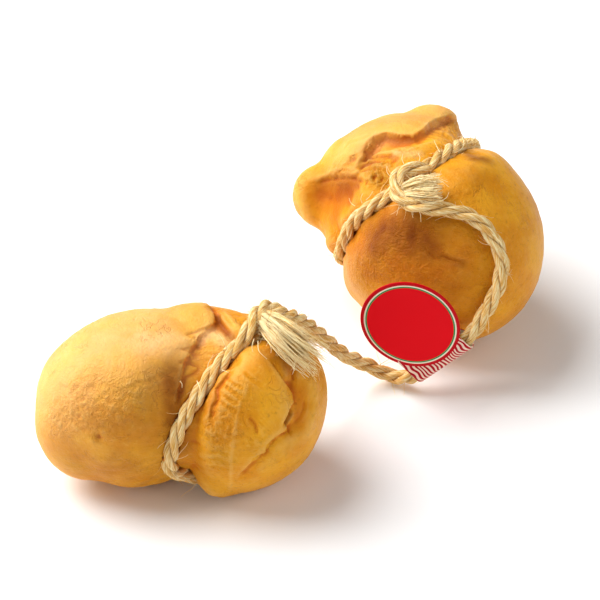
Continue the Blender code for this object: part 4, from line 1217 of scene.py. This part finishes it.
def frayedEndTree():
    tree, given = geometryTree("frayed end", (
        ("Fibres", "Int"), ("Lock", "Int"), ("Lock width", "Float"), ("Root radius", "Float"),
        ("End radius", "Float"), ("Opening", "Float"), ("Shortest", "Float"), ("Fibre radius", "Float"),
        ("Waviness", "Float"), ("Seed", "Int"), ("Material", "Material"),
    ))
    curve = addNode(tree, "GeometryNodeMeshToCurve", None, {"Mesh": given.outputs["Geometry"]})
    even = addNode(tree, "GeometryNodeResampleCurve", {"mode": "COUNT"}, {
        "Curve": curve, "Count": frays["points"]})
    copies = addNode(tree, "GeometryNodeDuplicateElements", {"domain": "SPLINE"}, {
        "Geometry": even, "Amount": given.outputs["Fibres"]})
    number = copies.outputs["Duplicate Index"]
    lock = addNode(tree, "ShaderNodeMath", over, {0: number, 1: given.outputs["Lock"]})
    lock = addNode(tree, "ShaderNodeMath", {"operation": "FLOOR"}, {0: lock})

    # what each fibre, or each lock of fibres, draws at random: lowest, highest, its own seed and whose draw it is
    drawn = {}
    for name, low, high, seed, owner in (
        ("length", given.outputs["Shortest"], 1.0, 1.0, number),
        ("angle", 0.0, math.tau, 2.0, lock),
        ("spread", 0.0, 1.0, 3.0, lock),
        ("tone", *frays["tone"], 4.0, number),
        ("thickness", *frays["thickness"], 5.0, number),
    ):
        seed = addNode(tree, "ShaderNodeMath", plus, {0: given.outputs["Seed"], 1: seed})
        drawn[name] = addNode(tree, "FunctionNodeRandomValue", numbers, {
            2: low, 3: high, "ID": owner, "Seed": seed}).outputs[1]
    along = addNode(tree, "GeometryNodeSplineParameter").outputs["Factor"]
    share = addNode(tree, "ShaderNodeMath", times, {0: along, 1: drawn["length"]})
    at = addNode(tree, "GeometryNodeSampleCurve", {"mode": "FACTOR", "use_all_curves": False}, {
        "Curves": even, "Factor": share})

    # the locks fan out from the root
    binormal = addNode(tree, "ShaderNodeVectorMath", crossed, {0: at.outputs["Tangent"], 1: at.outputs["Normal"]})
    ahead = addNode(tree, "ShaderNodeMath", cosine, {0: drawn["angle"]})
    beside = addNode(tree, "ShaderNodeMath", sine, {0: drawn["angle"]})
    ahead = addNode(tree, "ShaderNodeVectorMath", scaled, {0: at.outputs["Normal"], "Scale": ahead})
    beside = addNode(tree, "ShaderNodeVectorMath", scaled, {0: binormal, "Scale": beside})
    way = addNode(tree, "ShaderNodeVectorMath", plus, {0: ahead, 1: beside})
    opened = addNode(tree, "ShaderNodeMath", power, {0: share, 1: given.outputs["Opening"]})
    widened = addNode(tree, "ShaderNodeMath", minus, {
        0: given.outputs["End radius"], 1: given.outputs["Root radius"]})
    widened = addNode(tree, "ShaderNodeMath", times, {0: opened, 1: widened})
    radius = addNode(tree, "ShaderNodeMath", plus, {0: given.outputs["Root radius"], 1: widened})
    spread = addNode(tree, "ShaderNodeMath", power, {0: drawn["spread"], 1: frays["clustered"]})
    spread = addNode(tree, "ShaderNodeMath", times, {0: spread, 1: radius})
    offset = addNode(tree, "ShaderNodeVectorMath", scaled, {0: way, "Scale": spread})

    # each fibre wanders on its way, and lies a little apart from the rest of its lock
    own = addNode(tree, "ShaderNodeMath", times, {0: number, 1: frays["numberApart"]})
    passed = addNode(tree, "ShaderNodeMath", times, {0: share, 1: frays["curls"]})
    curls = addNode(tree, "ShaderNodeCombineXYZ", None, {"X": own, "Y": passed})
    curls = addNode(tree, "ShaderNodeTexNoise", None, {"Vector": curls, "Scale": 1.0, "Detail": 1.0})
    wander = addNode(tree, "ShaderNodeVectorMath", minus, {0: curls.outputs["Color"], 1: (0.5, 0.5, 0.5)})
    waviness = addNode(tree, "ShaderNodeMath", times, {0: share, 1: frays["wander"]})
    waviness = addNode(tree, "ShaderNodeMath", times, {0: waviness, 1: given.outputs["Waviness"]})
    wander = addNode(tree, "ShaderNodeVectorMath", scaled, {0: wander, "Scale": waviness})
    seed = addNode(tree, "ShaderNodeMath", plus, {0: given.outputs["Seed"], 1: 6.0})
    apart = addNode(tree, "FunctionNodeRandomValue", vectors, {
        0: (-1, -1, -1), 1: (1, 1, 1), "ID": number, "Seed": seed})
    looser = addNode(tree, "ShaderNodeMath", plus, {0: frays["looseRoot"], 1: share})
    looser = addNode(tree, "ShaderNodeMath", times, {0: looser, 1: given.outputs["Lock width"]})
    apart = addNode(tree, "ShaderNodeVectorMath", scaled, {0: apart, "Scale": looser})
    fanned = addNode(tree, "ShaderNodeVectorMath", plus, {0: at.outputs["Position"], 1: offset})
    loosened = addNode(tree, "ShaderNodeVectorMath", plus, {0: wander, 1: apart})
    place = addNode(tree, "ShaderNodeVectorMath", plus, {0: fanned, 1: loosened})
    placed = addNode(tree, "GeometryNodeSetPosition", None, {"Geometry": copies, "Position": place})

    # what the finish reads, and the fibre's own thickness
    kept = addNode(tree, "GeometryNodeStoreNamedAttribute", pointNumbers, {
        "Geometry": placed, "Name": "tone", "Value": drawn["tone"]})
    fibre = addNode(tree, "ShaderNodeMath", times, {0: number, 1: frays["streaksApart"]})
    fibre = addNode(tree, "ShaderNodeCombineXYZ", None, {"X": fibre, "Z": share})
    kept = addNode(tree, "GeometryNodeStoreNamedAttribute", pointVectors, {
        "Geometry": kept, "Name": "fibre", "Value": fibre})
    kept = addNode(tree, "GeometryNodeStoreNamedAttribute", pointNumbers, {
        "Geometry": kept, "Name": "outer", "Value": frays["outer"]})
    profile = addNode(tree, "GeometryNodeCurvePrimitiveCircle", {"mode": "RADIUS"}, {
        "Resolution": frays["sides"], "Radius": given.outputs["Fibre radius"]})
    taper = addNode(tree, "ShaderNodeMath", times, {0: along, 1: frays["taper"]})
    taper = addNode(tree, "ShaderNodeMath", minus, {0: 1.0, 1: taper})
    taper = addNode(tree, "ShaderNodeMath", times, {0: drawn["thickness"], 1: taper})
    mesh = addNode(tree, "GeometryNodeCurveToMesh", None, {
        "Curve": kept, "Profile Curve": profile, "Scale": taper, "Fill Caps": True})
    return endTree(tree, given, mesh)


# Single long fibres that have come out of the twine
def strayFibresTree():
    tree, given = geometryTree("stray fibres", (("Radius", "Float"), ("Material", "Material")))
    curve = addNode(tree, "GeometryNodeMeshToCurve", None, {"Mesh": given.outputs["Geometry"]})
    kept = addNode(tree, "GeometryNodeStoreNamedAttribute", pointNumbers, {
        "Geometry": curve, "Name": "tone", "Value": 1.0})
    kept = addNode(tree, "GeometryNodeStoreNamedAttribute", pointNumbers, {
        "Geometry": kept, "Name": "outer", "Value": 1.0})
    profile = addNode(tree, "GeometryNodeCurvePrimitiveCircle", {"mode": "RADIUS"}, {
        "Resolution": hairs["straySides"], "Radius": given.outputs["Radius"]})
    along = addNode(tree, "GeometryNodeSplineParameter").outputs["Factor"]
    taper = addNode(tree, "ShaderNodeMath", times, {0: along, 1: hairs["taper"]})
    taper = addNode(tree, "ShaderNodeMath", minus, {0: 1.0, 1: taper})
    mesh = addNode(tree, "GeometryNodeCurveToMesh", None, {
        "Curve": kept, "Profile Curve": profile, "Scale": taper, "Fill Caps": True})
    return endTree(tree, given, mesh)


twineTree, hairTree, frayTree, strayTree = laidTwineTree(), looseHairsTree(), frayedEndTree(), strayFibresTree()


def layTwine(name, route, seed, closed=False, lay=None, thickness=1.0):
    length = routeLength(route + route[:1] if closed else route)
    turns = length / (lay or twine["lay"])
    return grownMesh(lineMesh(name, [route], closed), twineTree, {
        "Strands": twine["strands"], "Turns": -float(round(turns * 3) / 3 if closed else turns),
        "Strand offset": twine["strandOffset"] * thickness, "Strand radius": twine["strandRadius"] * thickness,
        "Step": twine["step"], "Sides": twine["sides"], "Relief": twine["relief"],
        "Yarn twist": twine["yarnTwist"], "Seed": seed, "Material": twineMaterial,
    }, name)


def frayEnd(name, route, seed, sizes):
    return grownMesh(lineMesh(name, [route]), frayTree, {
        "Fibres": sizes["fibres"], "Lock": sizes["lock"], "Lock width": sizes["lockWidth"] * mm,
        "Root radius": sizes["root"] * mm, "End radius": sizes["end"] * mm,
        "Opening": sizes["opening"], "Shortest": sizes["shortest"], "Fibre radius": sizes["fibre"] * mm,
        "Waviness": sizes["waviness"] * mm, "Seed": seed, "Material": twineMaterial,
    }, name)


def drawStrays(name, skin, fibres):
    routes = [smoothRoute([aboveSkin(skin, *point) for point in fibre], hairs["straySpacing"]) for fibre in fibres]
    return grownMesh(lineMesh(name, routes), strayTree, {
        "Radius": hairs["strayRadius"], "Material": twineMaterial,
    }, name)


def growHairs(name, mesh, seed, share=1.0):
    return grownMesh(mesh, hairTree, {
        "Density": hairs["density"] * share, "Length": hairs["length"], "Radius": hairs["radius"],
        "Lift": hairs["lift"], "Bend": hairs["bend"], "Seed": seed, "Material": twineMaterial,
    }, name)


# Knots: laid twine and frayed ends, as picture points with a height above the skin in millimetres
# frays: which end it is, its fibres, how many make a lock, and its other sizes in millimetres
leftKnot = {
    "onRing": ((222, 352), (230, 347), (238, 342)),
    "loop": ((246, 335, 3.6), (251, 325, 4.6), (257, 314, 5.2), (267, 307, 5.4), (276, 311, 4.6), (273, 320, 3.4),
             (264, 327, 2.4)),
    "end": ((262, 317, 2.6), (273, 326, 4.8), (288, 339, 6.0), (304, 352, 6.4), (319, 363, 6.0)),
    "frays": (
        ("end", {"fibres": 640, "lock": 9, "lockWidth": 0.6, "root": 2.4, "end": 8.6, "opening": 0.85,
                 "shortest": 0.42, "fibre": 0.18, "waviness": 3.4}),
    ),
    "strays": (
        ((257, 318, 5.4), (263, 327, 6.2), (270, 333, 5.0)),
        ((254, 339, 3.4), (252, 346, 3.6), (253, 352, 2.2)),
        ((258, 341, 3.2), (259, 351, 4.2), (267, 359, 2.6)),
        ((268, 342, 3.0), (271, 347, 3.4), (271, 353, 2.4)),
        ((283, 349, 4.0), (281, 354, 4.2), (285, 358, 3.6), (288, 354, 3.0)),
        ((197, 381, 5.4), (200, 388, 5.8), (201, 396, 4.4)),
        ((222, 370, 3.6), (225, 371, 4.0), (229, 373, 3.0)),
        ((180, 381, 4.4), (182, 384, 4.6), (182, 388, 3.4)),
    ),
}
rightKnot = {
    "onRing": (),
    "strays": (
        ((413, 206, 5.6), (412, 212, 5.2), (413, 218, 4.0)),
        ((416, 207, 5.6), (420, 213, 5.6), (421, 222, 4.2)),
        ((428, 176, 6.4), (438, 178, 7.4), (448, 182, 7.0)),
        ((432, 178, 6.4), (441, 181, 7.0), (449, 187, 6.4)),
        ((440, 152, 5.0), (437, 147, 6.0), (434, 140, 6.4)),
        ((462, 136, 5.4), (464, 144, 6.0), (460, 150, 5.6), (454, 153, 4.6)),
        ((404, 164, 6.0), (402, 159, 6.8), (403, 154, 7.0)),
        ((390, 176, 5.6), (387, 172, 6.4), (387, 166, 6.6)),
        ((362, 203, 5.4), (361, 198, 6.0), (363, 193, 6.0)),
        ((366, 200, 5.4), (370, 196, 6.0), (373, 191, 6.0)),
        ((355, 206, 5.4), (351, 203, 6.0), (349, 198, 6.2)),
        ((418, 163, 5.0), (420, 158, 6.0), (418, 153, 6.0)),
        ((332, 255, 5.4), (324, 256, 6.2), (315, 254, 6.4)),
        ((437, 202, 6.2), (446, 198, 6.6), (449, 192, 6.2)),
    ),
    "loop": ((428, 170, 1.0), (420, 169, 3.2), (411, 169, 5.0), (402, 172, 5.6), (397, 179, 5.8), (395.5, 188, 5.6),
             (398, 196, 5.4), (404, 201, 5.0), (412, 204, 3.8)),
    "end": ((402, 192, 2.5), (412, 188, 5.0), (426, 185, 6.2), (443, 184, 6.6)),
    "wisp": ((404, 197, 3.5), (416, 196, 6.2), (430, 197, 6.8), (443, 198, 6.6)),
    "frays": (
        ("end", {"fibres": 330, "lock": 8, "lockWidth": 0.45, "root": 2.2, "end": 4.8, "opening": 1.0,
                 "shortest": 0.45, "fibre": 0.18, "waviness": 2.2}),
        ("wisp", {"fibres": 170, "lock": 9, "lockWidth": 0.4, "root": 1.6, "end": 2.6, "opening": 1.2,
                  "shortest": 0.55, "fibre": 0.17, "waviness": 1.8}),
    ),
}


def makeTied(name, node, skin, ring, knot, seed):
    # the loop round a neck, its knot and frayed ends, and their hairs
    meshes = [layTwine(name + "Ring", ring, seed, closed=True, lay=twine["ringLay"])]
    start = [min(ring, key=lambda place: math.dist(inPicture(place), point)) for point in knot["onRing"]]
    start = [place + viewBack * (twine["stepOut"] * index) for index, place in enumerate(start)]
    loop = smoothRoute(start + [aboveSkin(skin, *point) for point in knot["loop"]], twine["spacing"])
    meshes.append(layTwine(name + "Loop", loop, seed + 1, lay=twine["knotLay"]))
    for index, (key, sizes) in enumerate(knot["frays"]):
        route = smoothRoute([aboveSkin(skin, *point) for point in knot[key]], twine["spacing"])
        meshes.append(frayEnd(name + "End", route, seed + 3 + index, sizes))
    piece = joinedObject(name, meshes)
    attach(piece, "root")
    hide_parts(node)
    loose = joinedObject(name + "Hairs", [
        growHairs(name + "Hairs", piece.data.copy(), seed + 9), drawStrays(name + "Strays", skin, knot["strays"])])
    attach(loose, "root")
    print(name, len(piece.data.polygons), "faces and", len(loose.data.polygons), "of hairs")


# Label: an oval card in front of the right cheese, with a strip that is folded round the twine
label = {
    "centre": (410.3, 324.5, 34.6),  # picture point, and height above the table in mm
    "facing": Vector((0, -1, 0.03)).normalized(),
    "length": 40.6 * mm,
    "width": 34.6 * mm,
    "lean": math.radians(-52),  # of its long axis, from level
    "thickness": 0.8 * mm,
    "card": 0.6 * mm,  # what is seen of that thickness
    "rings": 16,
    "sectors": 96,
    "foldLean": math.radians(41),
    "foldReach": 25.1 * mm,  # from the card's middle to the fold
    "stripWidth": 24.8 * mm,
    "stripShift": -2.4 * mm,
    "setBack": 0.15 * mm,
    "stripReach": 15.0 * mm,
    "runSteps": 8,  # of the strip before and behind
    "turnSteps": 24,  # of its turn round the twine
    "columns": 14,
    "gap": 0.55 * mm,
    "clearance": 2.0 * mm,
    "wave": 0.22 * mm,  # of the card, which isn't quite flat
    "curl": 0.35 * mm,  # of its long edges
    "rounding": 0.2,  # of the cut edges, as a share of what is seen of the thickness
    "sharpFrom": math.radians(50),
}


def labelFrame():
    # the card's middle, its level and rising ways, and the fold's ways along and inward
    facing = label["facing"]
    level = Vector((0, 0, 1)).cross(-facing).normalized()
    level = level if level.x > 0 else -level
    rising = facing.cross(level).normalized()
    rising = rising if rising.z > 0 else -rising
    along = level * math.cos(label["foldLean"]) + rising * math.sin(label["foldLean"])
    inward = rising * math.cos(label["foldLean"]) - level * math.sin(label["foldLean"])
    return aboveTable(*label["centre"]), level, rising, along, inward


def sleeveSizes():
    # the radius of the strip's turn, and how far behind the card its axis lies
    bore = twine["diameter"] / 2 + label["gap"]
    return bore + label["thickness"], bore + label["thickness"] / 2 + label["setBack"]


def sleeveAxis():
    # the two ends of the middle line of the strip's turn, the upper one first
    centre, _, _, along, inward = labelFrame()
    outer, behind = sleeveSizes()
    middle = centre + inward * (outer - label["foldReach"]) + along * label["stripShift"] - label["facing"] * behind
    return middle + along * (label["stripWidth"] / 2), middle - along * (label["stripWidth"] / 2)


# The free twine, from the right knot over the cheese, through the label's sleeve and up to the left knot
link = {
    "fromKnot": ((403, 199, 3.4), (411, 204, 4.4), (424, 207, 4.2), (438, 209, 3.6)),
    "overCheese": (
        (449, 210, 3.4), (460, 212.5, 3.4), (472, 217, 3.4), (484, 226, 3.4), (493, 238, 3.4), (499, 250, 3.4),
        (502, 263, 3.4), (501, 276, 3.4), (498, 288, 3.4), (493, 299, 3.4), (486, 311, 3.8), (479, 323, 4.4),
    ),
    "inAir": (
        (410, 377, 7.0), (397, 377, 4.2), (384, 373, 4.8), (372, 367, 8.0), (358, 361, 13.0), (345, 355, 19.0),
        (332, 345, 27.0), (320, 335, 35.0), (309, 326, 42.5), (298, 319.5, 50.0),
    ),
    "intoKnot": ((286, 315, 6.2), (275, 314.5, 5.4), (267, 317, 3.6)),
}


def linkRoute(leftSkin, rightSkin):
    high, low = sleeveAxis()
    beyond = (high - low).normalized() * label["clearance"]
    over = [aboveSkin(rightSkin, *point) for point in link["fromKnot"] + link["overCheese"]]
    through = [high + beyond] + [high.lerp(low, share / 4) for share in range(5)] + [low - beyond]
    up = [aboveTable(*point) for point in link["inAir"]]
    into = [aboveSkin(leftSkin, *point) for point in link["intoKnot"]]
    return smoothRoute(over + through + up + into, twine["spacing"])


def makeLink(leftSkin, rightSkin):
    route = linkRoute(leftSkin, rightSkin)
    piece = linkObject("twineLink", layTwine("twineLink", route, 40))
    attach(piece, "root")
    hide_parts("twine_link")
    loose = linkObject("twineLinkHairs", growHairs("twineLinkHairs", piece.data.copy(), 47, 0.75))
    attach(loose, "root")
    print("twine link", round(routeLength(route) / mm), "mm")


def makeCardMesh():
    centre, level, rising, _, _ = labelFrame()
    longAxis = level * math.cos(label["lean"]) + rising * math.sin(label["lean"])
    shortAxis = label["facing"].cross(longAxis)
    bm = bmesh.new()
    prints = bm.loops.layers.uv.new("print")
    rows = []
    for ring in range(label["rings"] + 1):
        far = ring / label["rings"]
        row = []
        for sector in range(label["sectors"] if ring else 1):
            angle = math.tau * sector / label["sectors"]
            u, v = far * math.cos(angle), far * math.sin(angle)
            warp = label["wave"] * math.sin(2.1 * u + 1.3 * v) - label["curl"] * v * v
            place = centre + longAxis * (u * label["length"] / 2) + shortAxis * (v * label["width"] / 2)
            place += label["facing"] * (label["thickness"] / 2 + warp)
            row.append((bm.verts.new(place), (u, v)))
        rows.append(row)
    for inner, outer in zip(rows, rows[1:]):
        for sector in range(label["sectors"]):
            after = (sector + 1) % label["sectors"]
            corners = [inner[0]] if len(inner) == 1 else [inner[after], inner[sector]]
            corners += [outer[sector], outer[after]]
            face = bm.faces.new([corner[0] for corner in corners])
            for loop, corner in zip(face.loops, corners):
                loop[prints].uv = corner[1]
    mesh = bpy.data.meshes.new("card")
    bm.to_mesh(mesh)
    bm.free()
    return mesh


def makeStripMesh():
    # the strip's front run, its turn round the twine, and its back run up to the card
    centre, _, _, along, inward = labelFrame()
    outer, behind = sleeveSizes()
    facing, runSteps, columns = label["facing"], label["runSteps"], label["columns"]
    front = label["setBack"] - label["thickness"] / 2
    tip = label["stripReach"]
    toTip = Vector((tip - outer, label["setBack"] + label["thickness"] / 2 - behind))
    tangent = math.atan2(toTip.y, toTip.x) + math.acos(outer / toTip.length)
    first, last = -math.pi / 2, tangent - math.tau
    section = [(tip + (outer - tip) * i / runSteps, front) for i in range(runSteps)]
    section += [(outer + outer * math.cos(a), behind + outer * math.sin(a))
                for a in np.linspace(first, last, label["turnSteps"] + 1)]
    endOfTurn = section[-1]
    section += [(endOfTurn[0] + (tip - endOfTurn[0]) * i / runSteps,
                 endOfTurn[1] + (label["setBack"] + label["thickness"] / 2 - endOfTurn[1]) * i / runSteps)
                for i in range(1, runSteps + 1)]
    fold = centre - inward * label["foldReach"] + along * label["stripShift"]
    bm = bmesh.new()
    prints = bm.loops.layers.uv.new("print")
    travelled = [0.0]
    for a, b in zip(section, section[1:]):
        travelled.append(travelled[-1] + math.hypot(b[0] - a[0], b[1] - a[1]))
    rows = []
    for (across, back), length in zip(section, travelled):
        row = []
        for column in range(columns + 1):
            shift = (column / columns - 0.5) * label["stripWidth"]
            place = fold + inward * across - facing * back + along * shift
            row.append((bm.verts.new(place), (length / mm, shift / mm)))
        rows.append(row)
    for lower, upper in zip(rows, rows[1:]):
        for column in range(columns):
            corners = [lower[column], lower[column + 1], upper[column + 1], upper[column]]
            face = bm.faces.new([corner[0] for corner in corners])
            for loop, corner in zip(face.loops, corners):
                loop[prints].uv = corner[1]
    bmesh.ops.recalc_face_normals(bm, faces=bm.faces)
    mesh = bpy.data.meshes.new("strip")
    bm.to_mesh(mesh)
    bm.free()
    return mesh


def thickened(mesh, thickness, materials):
    # a card from its printed face: Solidify lays its back behind the face
    obj = linkObject(mesh.name + "Face", mesh)
    for finish in materials:
        mesh.materials.append(finish)
    shell = obj.modifiers.new("card", "SOLIDIFY")
    shell.thickness = thickness
    shell.offset = -1
    shell.use_even_offset = True
    shell.material_offset = 1
    edge = obj.modifiers.new("edge", "BEVEL")
    edge.width = thickness * label["rounding"]
    edge.segments = 2
    edge.limit_method = "ANGLE"
    edge.angle_limit = label["sharpFrom"]
    made = bakedMesh(obj, mesh.name)
    made.shade_smooth()
    made.set_sharp_from_angle(angle=label["sharpFrom"])
    return made


def makeLabel():
    card, strip = makeCardMesh(), makeStripMesh()
    facing = label["facing"]
    if sum(polygon.normal.dot(facing) * polygon.area for polygon in card.polygons) < 0:
        card.flip_normals()
    axis = (sleeveAxis()[0] + sleeveAxis()[1]) / 2
    if sum(polygon.normal.dot(polygon.center - axis) for polygon in strip.polygons) < 0:
        strip.flip_normals()
    pieces = [
        linkObject("labelCard", thickened(card, label["card"], cardMaterials)),
        linkObject("labelStrip", thickened(strip, label["card"], stripMaterials)),
    ]
    for piece in pieces:
        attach(piece, "root")
    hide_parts("label_tag")
    return pieces


labelPieces = makeLabel()
print("label made")
leftSkin, leftRing = makeCheese("scamorzaLeft", "scamorza_left", leftCheese, 1)
rightSkin, rightRing = makeCheese("scamorzaRight", "scamorza_right", rightCheese, 2)
makeLink(leftSkin, rightSkin)
makeTied("twineLeft", "twine_left", leftSkin, leftRing, leftKnot, 10)
makeTied("twineRight", "twine_right", rightSkin, rightRing, rightKnot, 25)
print("twine laid")


# Studio: a plain pale floor and soft light, brightest from the upper left
studio = {
    "floor": "#FAFAFA",
    "floorRoughness": 0.9,
    "floorHalf": 3.0,
    "floorBelow": 0.05 * mm,
    "aim": Vector((0, 0, 0.03)),
    "sky": 0.17,
    "key": ((-0.85, 0.35, 1.10), 1.3, 38.0),  # place, size and power
    "fill": ((-0.7, -1.0, 0.6), 0.9, 2.5),
    "side": ((1.0, -0.3, 0.7), 0.8, 4.5),
}


def makeStudio():
    bm = bmesh.new()
    place = Matrix.Translation((0, 0, -studio["floorBelow"]))
    bmesh.ops.create_grid(bm, x_segments=2, y_segments=2, size=studio["floorHalf"], matrix=place)
    mesh = bpy.data.meshes.new("floor")
    bm.to_mesh(mesh)
    bm.free()
    floor = linkObject("floor", mesh)
    finish, _, _ = newFinish("pale paper sweep", {
        "Base Color": colour(studio["floor"]), "Roughness": studio["floorRoughness"]})
    mesh.materials.append(finish)
    world = bpy.data.worlds.new("studio")
    world.use_nodes = True
    world.node_tree.nodes["Background"].inputs["Color"].default_value = (1, 1, 1, 1)
    world.node_tree.nodes["Background"].inputs["Strength"].default_value = studio["sky"]
    bpy.context.scene.world = world
    for name in ("key", "fill", "side"):
        place, size, watts = studio[name]
        lamp = bpy.data.lights.new(name, "AREA")
        lamp.size = size
        lamp.energy = watts
        obj = linkObject(name, lamp)
        obj.location = place
        obj.rotation_mode = "QUATERNION"
        obj.rotation_quaternion = (studio["aim"] - Vector(place)).to_track_quat("-Z", "Y")
    bpy.context.scene.view_settings.view_transform = "Standard"


makeStudio()
print("studio lit")
